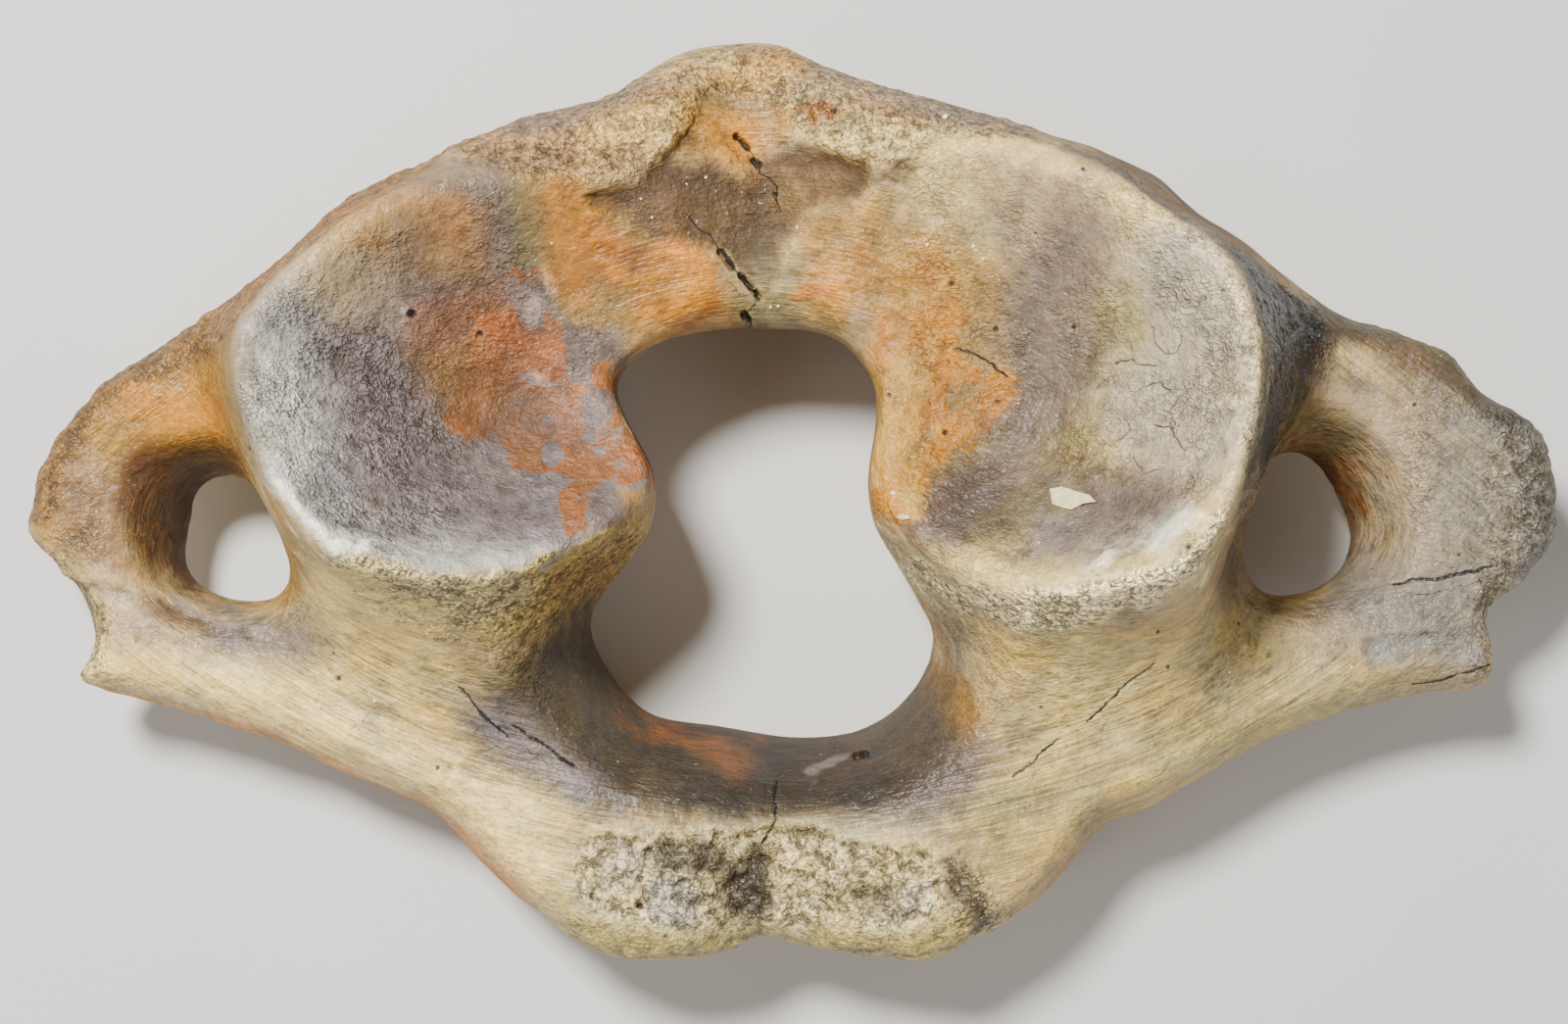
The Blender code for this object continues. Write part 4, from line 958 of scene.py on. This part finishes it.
def write_values(mesh, name, values):
    """Keeps one number, colour or vector for each vertex."""
    kind = "FLOAT" if values.ndim == 1 else ("FLOAT_COLOR" if values.shape[1] == 4 else "FLOAT_VECTOR")
    attribute = mesh.attributes.new(name, kind, "POINT")
    key = {"FLOAT": "value", "FLOAT_COLOR": "color", "FLOAT_VECTOR": "vector"}[kind]
    attribute.data.foreach_set(key, values.astype(np.float32).ravel())


def blend_in(colours, tone, share):
    """Mixes a tone into these colours, in place."""
    colours += (np.array(tone) - colours) * share[:, None]


def paint(mesh, tones):
    """Writes the stains, the borders that stay crisp, the lie of the fibres and the kinds of surface."""
    points, out = places_of(mesh), normals_of(mesh)
    # On steep walls the borders wander further, so that no stain runs straight down
    steep = 1 - ramp(out[:, 2], 0.15, 0.6)
    plan = points[:, :2] + (warped(points) - points[:, :2]) * (1 + 2.5 * steep)[:, None]
    upper = front_share(out, full=-0.05)
    tone = {name: np.array(getattr(tones, name)) for name in AtlasColours.__annotations__}
    # Rear side first, all over
    ground = np.tile(tone["tan"], (len(points), 1))
    blend_in(ground, tone["ochre"], ramp(swells(points, size=38, seed=61), -0.25, 0.45) * 0.8)
    blend_in(ground, tone["purple"], ramp(swells(points, size=30, seed=67), 0.05, 0.55) * 0.6)
    rear_face = np.zeros(len(points))
    for x, y, half_x, half_y, turn in REAR_FACES:
        share = oval(plan, x, y, half_x, half_y, turn)
        rear_face = np.maximum(rear_face, 1 - ramp(share, 0.92, 1.04))
    rear_face *= 1 - upper
    blend_in(ground, tone["mauve"], rear_face * 0.9)
    front = ground.copy()
    blend_in(front, tone["tan"], np.full(len(points), 0.7))
    for name, strength, soft, outline in GROUND:
        blend_in(front, tone[name], strength * mask(plan, outline, soft))
    ground += (front - ground) * upper[:, None]
    # Iron stain
    stain = np.tile(tone["rust"], (len(points), 1))
    border = np.zeros(len(points))
    for name, outline in RUST:
        share = mask(plan, outline, soft=6.0, even=True)
        blend_in(stain, tone[name], ramp(share, 0.38, 0.62))
        border = np.maximum(border, share)
    x_side = points[:, 0]
    blend_in(stain, tone["ochre"], ramp(swells(points, size=14, seed=71), 0.0, 0.6) * 0.6 * (x_side > 0))
    blend_in(stain, tone["red"], ramp(swells(points, size=9, seed=75), 0.0, 0.4) * 0.5)
    blend_in(stain, tone["umber"], ramp(swells(points, size=6, seed=77), 0.1, 0.5) * 0.4 * (x_side < 0))
    blend_in(stain, tone["straw"], ramp(swells(points, size=8, seed=78), 0.0, 0.4) * 0.5 * (x_side > 0))
    blend_in(stain, tone["deep_rust"], ramp(swells(points, size=10, seed=73), 0.1, 0.7) * 0.2)
    for outline in BARE_IN_RUST:
        border = np.minimum(border, 1 - mask(plan, outline, soft=2.5, even=True))
    border *= upper
    border = np.maximum(border, rear_face * (0.5 + 0.5 * swells(points, size=20, seed=79)) * 0.9)
    dark, pale = np.zeros(len(points)), np.zeros(len(points))
    wandering = warped(points, far=0.7, fine=0.5)
    for darkest, outline in DARK:
        dark = np.maximum(dark, np.minimum(mask(wandering, outline, soft=2.0, even=True), darkest))
    # Painted shade: each pit darkens towards its middle
    for x, y, radius, _ in SPOTS:
        dark = np.maximum(dark, np.clip(0.86 - 0.4 * oval(wandering, x, y, radius, radius, 0), 0, 1))
    for outline in PALE:
        pale = np.maximum(pale, mask(wandering, outline, soft=2.0, even=True))
    # Cracks, as a signed distance and a half width, so that the finish can draw them finer than the mesh
    side, width = np.full(len(points), NO_CRACK), np.zeros(len(points))
    for half, _, line in CRACKS:
        d, beyond = beside(points[:, :2], line)
        near = (np.abs(d) < CRACK_REACH) & (np.abs(d) < np.abs(side))
        side[near] = d[near]
        width[near] = (half * np.exp(-beyond ** 2))[near]
    # Lie of the fibres, in millimetres, drawn out along them, and how near the seams between its parts are
    x, y, z = points.T
    spread = np.abs(x + 0.5)
    c, s = math.cos(FIBRE_TURN), math.sin(FIBRE_TURN)
    lie = np.column_stack([(spread * c - y * s) / FIBRE_STRETCH, spread * s + y * c, z])
    seam = np.full(len(points), FAR)
    for centre_y, edge in ((ROOF_ARC_Y, -20 - y), (BELLY_ARC_Y, np.minimum(y - 42, 78 - spread))):
        edge = edge + 3 * swells(points, size=9, octaves=2, seed=81)
        here = edge > 0
        reach = np.hypot(x - ARC_X, y - centre_y)
        turn = np.arctan2(x - ARC_X, np.abs(y - centre_y))
        lie[here] = np.column_stack([turn * ARC_REACH / FIBRE_STRETCH, reach, z])[here]
        seam = np.minimum(seam, np.abs(edge))
    for centre_x, centre_y in CANALS:
        reach = np.hypot(x - centre_x, y - centre_y)
        turn = np.arctan2(y - centre_y, x - centre_x)
        edge = CANAL_REACH - reach - 4 * swells(points, size=12, octaves=2, seed=83)
        here = edge > 0
        lie[here] = np.column_stack([turn * CANAL_RADIUS / CANAL_STRETCH, reach, z * 0.6])[here]
        seam = np.minimum(seam, np.abs(edge))
    # Kinds of surface, and how far each place lies below its surroundings, which the finish paints as shade
    grainy = strongest(plan, GRAINY, soft=2.0) * upper
    rear_grain = ramp(swells(points, size=26, seed=89), 0.0, 0.5) * 0.6
    grainy = np.maximum(grainy, (1 - upper) * (1 - rear_face) * rear_grain)
    cups = np.maximum(strongest(plan, [(1, LEFT_CUP), (1, RIGHT_CUP)], soft=2.0) * upper, rear_face)
    pebbled = np.maximum(strongest(plan, PEBBLED, soft=5.0) * upper, rear_face * 0.6)
    plates = strongest(plan, PLATES, soft=2.0) * upper
    patches = 0.3 + 0.9 * ramp(swells(points, size=13, seed=91), -0.35, 0.35)
    pebbled *= patches * (1 - 0.7 * plates)
    fibrous = (1 - cups) * (1 - 0.7 * grainy) * (1 - 0.75 * pebbled) * ramp(seam, 1.2, 6.0)
    polish = np.maximum(np.maximum(cups * 0.15, plates), strongest(plan, SHINY, soft=3.0) * upper)
    polish = polish - strongest(plan, DULL, soft=4.0) * upper
    polish -= 2.2 * steep * (1 - 0.7 * mask(plan, DARK_WALL, soft=2.0))
    cavity_shade = 0.6 * cavities(mesh, 4) + 0.4 * cavities(mesh, 16)
    opaque = np.ones(len(points))
    write_values(mesh, "ground", np.column_stack([ground, opaque]))
    write_values(mesh, "stain", np.column_stack([stain, opaque]))
    write_values(mesh, "borders", np.column_stack([border, dark * upper, pale * upper]))
    write_values(mesh, "cracks", np.column_stack([side, width * upper, polish]))
    write_values(mesh, "kinds", np.column_stack([grainy, pebbled, fibrous]))
    write_values(mesh, "lie", lie)
    write_values(mesh, "cavity_shade", cavity_shade)


def node(tree, kind, inputs=None, output=0, **settings):
    """Adds one shader node with its settings, its inputs given as values or as the sockets they come from."""
    made = tree.nodes.new("ShaderNode" + kind)
    for name, value in settings.items():
        setattr(made, name, value)
    for name, value in (inputs or {}).items():
        if isinstance(value, bpy.types.NodeSocket):
            tree.links.new(value, made.inputs[name])
        else:
            made.inputs[name].default_value = value
    return made.outputs[output]


def bone_material(tones, sizes):
    """Mineral-stained fossil bone, dug from gravel and cleaned: a satin skin with a leathery grain in the
    cups, lengthwise fibres on the outer bone, and knobbly grains with dark gaps where cartilage sat or bone
    tore."""
    material = bpy.data.materials.new("mineral_stained_fossil_bone")
    material.use_nodes = True
    tree = material.node_tree
    shader = tree.nodes["Principled BSDF"]
    add = functools.partial(node, tree)
    tint = {name: (*getattr(tones, name), 1.0) for name in AtlasColours.__annotations__}

    place = add("TexCoord", output="Object")
    kinds, borders, cracks, lie = (add("Attribute", output="Vector", attribute_name=name)
                                   for name in ("kinds", "borders", "cracks", "lie"))
    grainy, pebbled, fibrous = add("SeparateXYZ", {0: kinds}).node.outputs
    stain_border, dark_border, pale_border = add("SeparateXYZ", {0: borders}).node.outputs
    crack_side, crack_width, polish = add("SeparateXYZ", {0: cracks}).node.outputs
    cavity_shade = add("Attribute", output="Fac", attribute_name="cavity_shade")

    # Fields from 0 to 1: slow blotches, lumps, specks, fibres and broader streaks along them
    blotch = add("TexNoise", {"Vector": place, "Scale": 1 / (15 * MM), "Detail": 6.0, "Roughness": 0.62})
    lump = add("TexNoise", {"Vector": place, "Scale": 1 / (3.6 * MM), "Detail": 2.0, "Roughness": 0.48})
    speck = add("TexNoise", {"Vector": place, "Scale": 1 / (1.0 * MM), "Detail": 0.6, "Roughness": 0.45})
    coarse = add("Math", {0: pebbled, 1: grainy}, operation="MAXIMUM")
    fibre = add("TexNoise", {"Vector": lie, "Scale": MM / sizes.fibre, "Detail": 1.0, "Roughness": 0.45})
    streak = add("TexNoise", {"Vector": lie, "Scale": MM / (4.5 * sizes.fibre), "Detail": 2.0,
                              "Roughness": 0.5})
    # Leathery pebbles, drawn out along one diagonal and pushed about by the lumps
    lean = add("Mapping", {"Vector": place, "Rotation": (0, 0, math.radians(38)), "Scale": (1.0, 1.5, 1.2)})
    push = add("CombineXYZ", {0: lump, 1: blotch, 2: lump})
    lean = add("VectorMath", {0: push, 1: (0.004, 0.004, 0.004), 2: lean}, operation="MULTIPLY_ADD")
    pebble = add("TexVoronoi", {"Vector": lean, "Scale": 1 / sizes.pebble}, output="Distance")
    pebble = add("MapRange", {"Value": pebble, "From Min": 0.05, "From Max": 0.8, "To Min": 1.0,
                              "To Max": 0.0})
    grain = add("TexVoronoi", {"Vector": place, "Scale": 1 / sizes.grain}, output="Distance")
    each_grain = add("SeparateColor", {0: grain.node.outputs["Color"]})
    grain = add("MapRange", {"Value": grain, "From Min": 0.05, "From Max": 0.85, "To Min": 1.0,
                             "To Max": 0.0})
    # Narrow creases between rounded tops, where a noise passes its middle value
    surfaces = []
    for vector, size, cells, cell_share in ((lean, 1.1 * sizes.pebble, pebble, 0.3),
                                            (place, 1.5 * sizes.grain, grain, 0.4)):
        fold = add("TexNoise", {"Vector": vector, "Scale": 1 / size, "Detail": 1.0, "Roughness": 0.4,
                                "Distortion": 0.4})
        fold = add("Math", {0: fold, 1: 0.5}, operation="SUBTRACT")
        fold = add("Math", {0: fold}, operation="ABSOLUTE")
        fold = add("MapRange", {"Value": fold, "From Max": 0.11}, interpolation_type="SMOOTHSTEP")
        whole = add("Math", {0: lump, 1: 1.2, 2: -0.45}, operation="MULTIPLY_ADD")
        whole = add("Math", {0: cells, 1: cell_share, 2: whole}, operation="MULTIPLY_ADD")
        surfaces.append(add("Math", {0: fold, 1: 0.48, 2: whole}, operation="MULTIPLY_ADD"))
    leather, grit = surfaces
    # Skin that is left on in patches with crisp edges
    chips = add("TexNoise", {"Vector": place, "Scale": 1 / (5 * MM), "Detail": 3.0, "Roughness": 0.6,
                             "Distortion": 0.7})
    chips = add("MapRange", {"Value": chips, "From Min": 0.50, "From Max": 0.54},
                interpolation_type="SMOOTHSTEP")
    # How far the borders of stains and the cracks wander
    wander = -1.05
    for field, share in ((blotch, 1.3), (lump, 0.6), (speck, 0.2)):
        wander = add("Math", {0: field, 1: share, 2: wander}, operation="MULTIPLY_ADD")

    # Stains over the bone's own colour
    bone = add("Attribute", output="Color", attribute_name="ground")
    stain = add("Attribute", output="Color", attribute_name="stain")
    covered = add("Math", {0: stain_border, 1: wander}, operation="ADD")
    covered = add("MapRange", {"Value": covered, "From Min": 0.45, "From Max": 0.56, "To Max": 0.92},
                  interpolation_type="SMOOTHSTEP")
    thin = add("MapRange", {"Value": lump, "From Min": 0.58, "From Max": 0.70, "To Min": 1.0, "To Max": 0.3})
    covered = add("Math", {0: covered, 1: thin}, operation="MULTIPLY")
    bone = add("Mix", {0: covered, 6: bone, 7: stain}, output=2, data_type="RGBA")

    # Light and dark by relief: tips lighter, gaps darker, partly wear and soil and partly painted shade
    tone_and_painted_shade = 1.0
    for field, low, high, darkest, lightest, where in (
            (leather, 0.15, 0.80, 0.78, 1.14, pebbled), (grit, 0.15, 0.85, 0.34, 1.28, grainy),
            (each_grain, 0.0, 1.0, 0.60, 1.35, grainy), (fibre, 0.30, 0.70, 0.72, 1.17, fibrous),
            (streak, 0.34, 0.66, 0.86, 1.12, fibrous), (speck, 0.25, 0.75, 0.84, 1.14, grainy)):
        share = add("MapRange", {"Value": field, "From Min": low, "From Max": high, "To Min": darkest,
                                 "To Max": lightest}, interpolation_type="SMOOTHSTEP")
        share = add("Mix", {0: where, 2: 1.0, 3: share})
        tone_and_painted_shade = add("Math", {0: tone_and_painted_shade, 1: share}, operation="MULTIPLY")
    for field, low, high, darkest, lightest in (
            (lump, 0.32, 0.68, 0.88, 1.10), (speck, 0.25, 0.75, 0.90, 1.08),
            (blotch, 0.38, 0.62, 0.93, 1.07), (chips, 0.0, 1.0, 0.94, 1.06)):
        share = add("MapRange", {"Value": field, "From Min": low, "From Max": high, "To Min": darkest,
                                 "To Max": lightest})
        tone_and_painted_shade = add("Math", {0: tone_and_painted_shade, 1: share}, operation="MULTIPLY")
    # Painted shade: the deeper a place lies below its surroundings, the darker it is painted
    share = add("MapRange", {"Value": cavity_shade, "From Min": -0.2, "From Max": 0.35, "To Min": 1.2,
                             "To Max": 0.45})
    tone_and_painted_shade = add("Math", {0: tone_and_painted_shade, 1: share}, operation="MULTIPLY")
    # Slow drifts between warmer and cooler bone
    warmth = add("MapRange", {"Value": blotch, "From Min": 0.36, "From Max": 0.64, "To Min": -0.5,
                              "To Max": 0.5})
    share = add("Math", {0: fibrous, 1: 0.7, 2: 0.3}, operation="MULTIPLY_ADD")
    warmth = add("Math", {0: warmth, 1: share}, operation="MULTIPLY")
    shades = []
    for drift in (0.16, 0.0, -0.40):
        share = add("Math", {0: warmth, 1: drift, 2: 1.0}, operation="MULTIPLY_ADD")
        shades.append(add("Math", {0: share, 1: tone_and_painted_shade}, operation="MULTIPLY"))
    scale = add("CombineColor", dict(enumerate(shades)))
    bone = add("Mix", {0: 1.0, 6: bone, 7: scale}, output=2, data_type="RGBA", blend_type="MULTIPLY")
    # Brown in the darkest places: soil in the gaps, laid where the painted shade is deepest
    soil_and_shade = add("MapRange", {"Value": tone_and_painted_shade, "From Min": 0.74, "From Max": 0.42, "To Max": 0.3})
    bone = add("Mix", {0: soil_and_shade, 6: bone, 7: tint["brown"]}, output=2, data_type="RGBA")

    # Pale scars, then dark places: stains, and painted shade in pits, cracks and along one rim
    pale = add("Math", {0: wander, 1: 0.5, 2: pale_border}, operation="MULTIPLY_ADD")
    pale = add("MapRange", {"Value": pale, "From Min": 0.46, "From Max": 0.66, "To Max": 0.34})
    bone = add("Mix", {0: pale, 6: bone, 7: tint["grey"]}, output=2, data_type="RGBA")
    dark = add("Math", {0: wander, 1: 0.4, 2: dark_border}, operation="MULTIPLY_ADD")
    dark = add("MapRange", {"Value": dark, "From Min": 0.44, "From Max": 0.70, "To Max": 0.88})
    bone = add("Mix", {0: dark, 6: bone, 7: tint["black"]}, output=2, data_type="RGBA")
    # Pale dots, partly specks of sand and partly painted glints; dark dots, partly manganese and partly
    # painted shade in tiny pits
    for low, high, share, name in ((0.76, 0.85, 0.35, "white"), (0.31, 0.20, 0.42, "black")):
        dots = add("MapRange", {"Value": speck, "From Min": low, "From Max": high, "To Max": share})
        bone = add("Mix", {0: dots, 6: bone, 7: tint[name]}, output=2, data_type="RGBA")
    # Cracks, painted dark inside as painted shade, which open and close along their way
    away = add("Math", {0: wander, 1: 3.0, 2: crack_side}, operation="MULTIPLY_ADD")
    away = add("Math", {0: away}, operation="ABSOLUTE")
    opening = add("MapRange", {"Value": lump, "From Min": 0.36, "From Max": 0.66, "To Min": 0.6,
                               "To Max": 1.6})
    opening = add("Math", {0: opening, 1: crack_width}, operation="MULTIPLY")
    away = add("Math", {0: away, 1: opening}, operation="SUBTRACT")
    crack = add("MapRange", {"Value": away, "From Min": 0.10, "From Max": -0.06, "To Max": 0.92})
    there = add("MapRange", {"Value": crack_width, "From Min": 0.03, "From Max": 0.12})
    crack = add("Math", {0: crack, 1: there}, operation="MULTIPLY")
    bone = add("Mix", {0: crack, 6: bone, 7: tint["black"]}, output=2, data_type="RGBA")
    tree.links.new(bone, shader.inputs["Base Color"])

    # Satin where polished, dull in gaps and on weathered bone
    gloss = 0.30
    for field, share in ((polish, -0.14), (speck, 0.12), (lump, 0.12), (pale, -0.1), (soil_and_shade, 0.35)):
        gloss = add("Math", {0: field, 1: share, 2: gloss}, operation="MULTIPLY_ADD")
    tree.links.new(gloss, shader.inputs["Roughness"])
    shader.inputs["IOR"].default_value = 1.52
    shader.inputs["Specular IOR Level"].default_value = 0.42

    # Relief, in millimetres
    relief = 0.0
    for field, tall, where in ((fibre, 0.34, fibrous), (streak, 0.5, fibrous), (leather, 0.8, pebbled),
                               (speck, 0.30, coarse), (grit, 0.9, grainy)):
        share = add("Math", {0: field, 1: where}, operation="MULTIPLY")
        relief = add("Math", {0: share, 1: tall, 2: relief}, operation="MULTIPLY_ADD")
    for field, tall in ((speck, 0.20), (lump, 0.9), (chips, 0.10), (crack, -0.6)):
        relief = add("Math", {0: field, 1: tall, 2: relief}, operation="MULTIPLY_ADD")
    bump = add("Bump", {"Height": relief, "Distance": MM, "Strength": 1.0})
    tree.links.new(bump, shader.inputs["Normal"])
    return material


def plain_material(name, tone, roughness, size, spread):
    """A plain finish whose tone drifts a little, over lumps of this size in millimetres."""
    material = bpy.data.materials.new(name)
    material.use_nodes = True
    tree = material.node_tree
    shader = tree.nodes["Principled BSDF"]
    add = functools.partial(node, tree)
    place = add("TexCoord", output="Object")
    drift = add("TexNoise", {"Vector": place, "Scale": 1 / (size * MM), "Detail": 3.0})
    shades = [(*np.clip(np.array(tone) * share, 0, 1), 1.0) for share in (1 - spread, 1 + spread)]
    mixed = add("Mix", {0: drift, 6: shades[0], 7: shades[1]}, output=2, data_type="RGBA")
    tree.links.new(mixed, shader.inputs["Base Color"])
    shader.inputs["Roughness"].default_value = roughness
    bump = add("Bump", {"Height": drift, "Distance": size * MM * 0.1, "Strength": 0.6})
    tree.links.new(bump, shader.inputs["Normal"])
    return material


def adopt(piece):
    """Lets a finished piece ride with the bone."""
    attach(piece, "root")


def look_down(bone, x, y):
    """What a ray straight down at this place meets: whether it hits, the spot, the normal and the face."""
    return bone.ray_cast(Vector((x, y, ABOVE_ALL)) * MM, Vector((0, 0, -1)))


class ATLAS_OT_bone(bpy.types.Operator):
    """Make the surface of the bone from its solid, with its relief, stains and finish"""
    bl_idname = "atlas.bone"
    bl_label = "Bone"
    bl_options = {"REGISTER", "UNDO"}

    def execute(self, context):
        sizes, tones = context.scene.atlas_sizes, context.scene.atlas_colours
        solid = frame["nodes"]["atlas_vertebra"]
        pick([solid])
        bpy.ops.object.duplicate()
        bone = context.view_layer.objects.active
        bone.name = bone.data.name = "bone_surface"
        bone.parent = None
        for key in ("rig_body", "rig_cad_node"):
            if key in bone:
                del bone[key]
        pick([bone])
        bpy.ops.object.mode_set(mode="EDIT")
        bpy.ops.mesh.select_all(action="SELECT")
        bpy.ops.mesh.remove_doubles(threshold=1e-6)
        bpy.ops.object.mode_set(mode="OBJECT")
        apply_modifier(bone, "REMESH", mode="VOXEL", voxel_size=sizes.coarse_grid)
        apply_modifier(bone, "SMOOTH", factor=0.5, iterations=5)
        apply_modifier(bone, "SUBSURF", levels=1, render_levels=1)
        carve(bone.data, sizes)
        # The rear is thinned to a quarter first, so that most triangles are left for the front
        rear = normals_of(bone.data)[:, 2] < -0.25
        thin_out(bone, rear, 1 - 0.75 * rear.mean())
        plain = ~near_detail(places_of(bone.data)[:, :2], reach=3.0)
        thin_out(bone, plain, sizes.triangles / triangle_count(bone.data))
        refine(bone, reach=2.0)
        dig(bone.data)
        paint(bone.data, tones)
        bone.data.shade_smooth()
        bone.data.materials.clear()
        bone.data.materials.append(bone_material(tones, sizes))
        adopt(bone)
        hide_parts("atlas_vertebra")
        return {"FINISHED"}


class ATLAS_OT_flakes(bpy.types.Operator):
    """Make the two thin flakes of bone that lie in the right cup"""
    bl_idname = "atlas.flakes"
    bl_label = "Flakes"
    bl_options = {"REGISTER", "UNDO"}

    def execute(self, context):
        bone = bpy.data.objects["bone_surface"]
        tones = context.scene.atlas_colours
        tone = tuple((2 * np.array(tones.cream) + tones.white) / 3.2)
        finish = plain_material("bleached_bone_flake", tone, roughness=0.5, size=1.5, spread=0.35)
        flakes = []
        for thickness, outline in FLAKES:
            bpy.ops.object.select_all(action="DESELECT")
            bpy.ops.mesh.primitive_circle_add(vertices=len(outline), radius=MM, fill_type="NGON")
            flake = context.active_object
            for vertex, (x, y) in zip(flake.data.vertices, outline):
                vertex.co = (x * MM, y * MM, 0)
            bpy.ops.object.mode_set(mode="EDIT")
            bpy.ops.mesh.select_all(action="SELECT")
            bpy.ops.mesh.extrude_region_move(TRANSFORM_OT_translate={"value": (0, 0, thickness * MM)})
            bpy.ops.mesh.select_all(action="SELECT")
            bpy.ops.mesh.normals_make_consistent(inside=False)
            bpy.ops.object.mode_set(mode="OBJECT")
            apply_modifier(flake, "REMESH", mode="VOXEL", voxel_size=0.2 * MM)
            apply_modifier(flake, "SMOOTH", factor=0.5, iterations=2)
            # Laid on the cup, one end a little proud, with an uneven top
            places = places_of(flake.data)
            along = places[:, 0] - places[:, 0].min()
            places[:, 2] += 0.05 * along + 0.35 * swells(places, size=3.0, seed=95) - 0.2
            for place in places:
                hit, spot, _, _ = look_down(bone, *place[:2])
                place[2] += spot.z / MM if hit else 0
            move_to(flake.data, places)
            flakes.append(flake)
        pick(flakes)
        bpy.ops.object.join()
        flakes[-1].name = flakes[-1].data.name = "bone_flakes"
        flakes[-1].data.shade_smooth()
        flakes[-1].data.materials.append(finish)
        adopt(flakes[-1])
        return {"FINISHED"}


class ATLAS_OT_sand(bpy.types.Operator):
    """Make the grains of pale sand that stick to the bone"""
    bl_idname = "atlas.sand"
    bl_label = "Sand"
    bl_options = {"REGISTER", "UNDO"}

    def execute(self, context):
        bone = bpy.data.objects["bone_surface"]
        sizes, tones = context.scene.atlas_sizes, context.scene.atlas_colours
        chance = random.Random(11)
        places = list(SAND)
        while len(places) < sizes.grains_of_sand:
            x, y = chance.uniform(-SCATTER_X, SCATTER_X), chance.uniform(-SCATTER_Y, SCATTER_Y)
            places.append((x, y, chance.uniform(0.25, 0.45)))
        bpy.ops.object.select_all(action="DESELECT")
        bpy.ops.mesh.primitive_ico_sphere_add(subdivisions=2, radius=MM)
        first = context.active_object
        shape = places_of(first.data)
        uneven = 1 + 0.3 * swells(shape + 5, size=1.1, octaves=2, seed=97)
        first.data.vertices.foreach_set("co", (shape * uneven[:, None] * MM).ravel())
        grains = []
        for x, y, radius in places:
            hit, spot, normal, _ = look_down(bone, x, y)
            if not hit or normal.z < 0.6:
                continue
            pick([first])
            bpy.ops.object.duplicate()
            grain = context.active_object
            grain.location = spot + normal * radius * 0.2 * MM
            grain.rotation_euler = [chance.uniform(0, 6.28) for _ in range(3)]
            grain.scale = [radius * chance.uniform(0.7, 1.2) for _ in range(3)]
            grains.append(grain)
        pick([first])
        bpy.ops.object.delete()
        pick(grains)
        bpy.ops.object.join()
        bpy.ops.object.transform_apply(location=True, rotation=True, scale=True)
        grains[-1].name = grains[-1].data.name = "sand_grains"
        move_to(grains[-1].data, places_of(grains[-1].data))
        grains[-1].data.shade_smooth()
        finish = plain_material("pale_quartz_sand", tuple(tones.white), roughness=0.4, size=2.0, spread=0.15)
        grains[-1].data.materials.append(finish)
        adopt(grains[-1])
        return {"FINISHED"}


class ATLAS_OT_studio(bpy.types.Operator):
    """Make the floor, the soft lights and the camera that looks straight down on the bone"""
    bl_idname = "atlas.studio"
    bl_label = "Studio"
    bl_options = {"REGISTER", "UNDO"}

    def execute(self, context):
        studio = context.scene.atlas_studio
        bpy.ops.object.select_all(action="DESELECT")
        bpy.ops.mesh.primitive_plane_add(size=6.0, location=(0, 0, 0))
        floor = context.active_object
        floor.name = "studio_floor"
        tone = tuple(context.scene.atlas_colours.floor)
        floor.data.materials.append(plain_material("matte_painted_floor", tone, roughness=0.8, size=400,
                                                   spread=0.01))
        for name, place, size, power in (
                ("key_light", (-0.34, 0.47, 1.24), 0.26, studio.key_power),
                ("left_fill", (-1.0, -0.8, 0.9), 0.8, studio.fill_power),
                ("right_fill", (1.0, -0.8, 0.9), 0.8, studio.fill_power)):
            bpy.ops.object.light_add(type="AREA", location=place)
            light = context.active_object
            light.name = name
            light.data.shape = "DISK"
            light.data.size = size
            light.data.energy = power
            light.rotation_euler = (-Vector(place)).to_track_quat("-Z", "Y").to_euler()
        world = bpy.data.worlds.new("studio_sky")
        world.use_nodes = True
        context.scene.world = world
        sky = world.node_tree.nodes["Background"]
        sky.inputs["Color"].default_value = (1.0, 1.0, 1.0, 1.0)
        sky.inputs["Strength"].default_value = studio.sky
        bpy.ops.object.camera_add(location=(CAMERA_X, CAMERA_Y, studio.camera_height), rotation=(0, 0, 0))
        camera = context.active_object
        camera.name = "camera"
        camera.data.lens = LENS
        camera.data.sensor_width = SENSOR
        camera.data.clip_start, camera.data.clip_end = 0.01, 20.0
        context.scene.camera = camera
        return {"FINISHED"}


class ATLAS_PT_panel(bpy.types.Panel):
    bl_label = "Fossil atlas"
    bl_idname = "ATLAS_PT_panel"
    bl_space_type = "VIEW_3D"
    bl_region_type = "UI"
    bl_category = "Atlas"

    def draw(self, context):
        for group in (context.scene.atlas_sizes, context.scene.atlas_colours, context.scene.atlas_studio):
            box = self.layout.box()
            for name in type(group).__annotations__:
                box.prop(group, name)
        for operator in (ATLAS_OT_bone, ATLAS_OT_flakes, ATLAS_OT_sand, ATLAS_OT_studio):
            self.layout.operator(operator.bl_idname)


CLASSES = (AtlasSizes, AtlasColours, AtlasStudio, ATLAS_OT_bone, ATLAS_OT_flakes, ATLAS_OT_sand,
           ATLAS_OT_studio, ATLAS_PT_panel)


def register():
    for cls in CLASSES:
        bpy.utils.register_class(cls)
    bpy.types.Scene.atlas_sizes = PointerProperty(type=AtlasSizes)
    bpy.types.Scene.atlas_colours = PointerProperty(type=AtlasColours)
    bpy.types.Scene.atlas_studio = PointerProperty(type=AtlasStudio)


def unregister():
    del bpy.types.Scene.atlas_studio
    del bpy.types.Scene.atlas_colours
    del bpy.types.Scene.atlas_sizes
    for cls in reversed(CLASSES):
        bpy.utils.unregister_class(cls)


def main():
    register()
    bpy.ops.atlas.bone()
    bpy.ops.atlas.flakes()
    bpy.ops.atlas.sand()
    bpy.ops.atlas.studio()


if __name__ == "__main__":
    main()
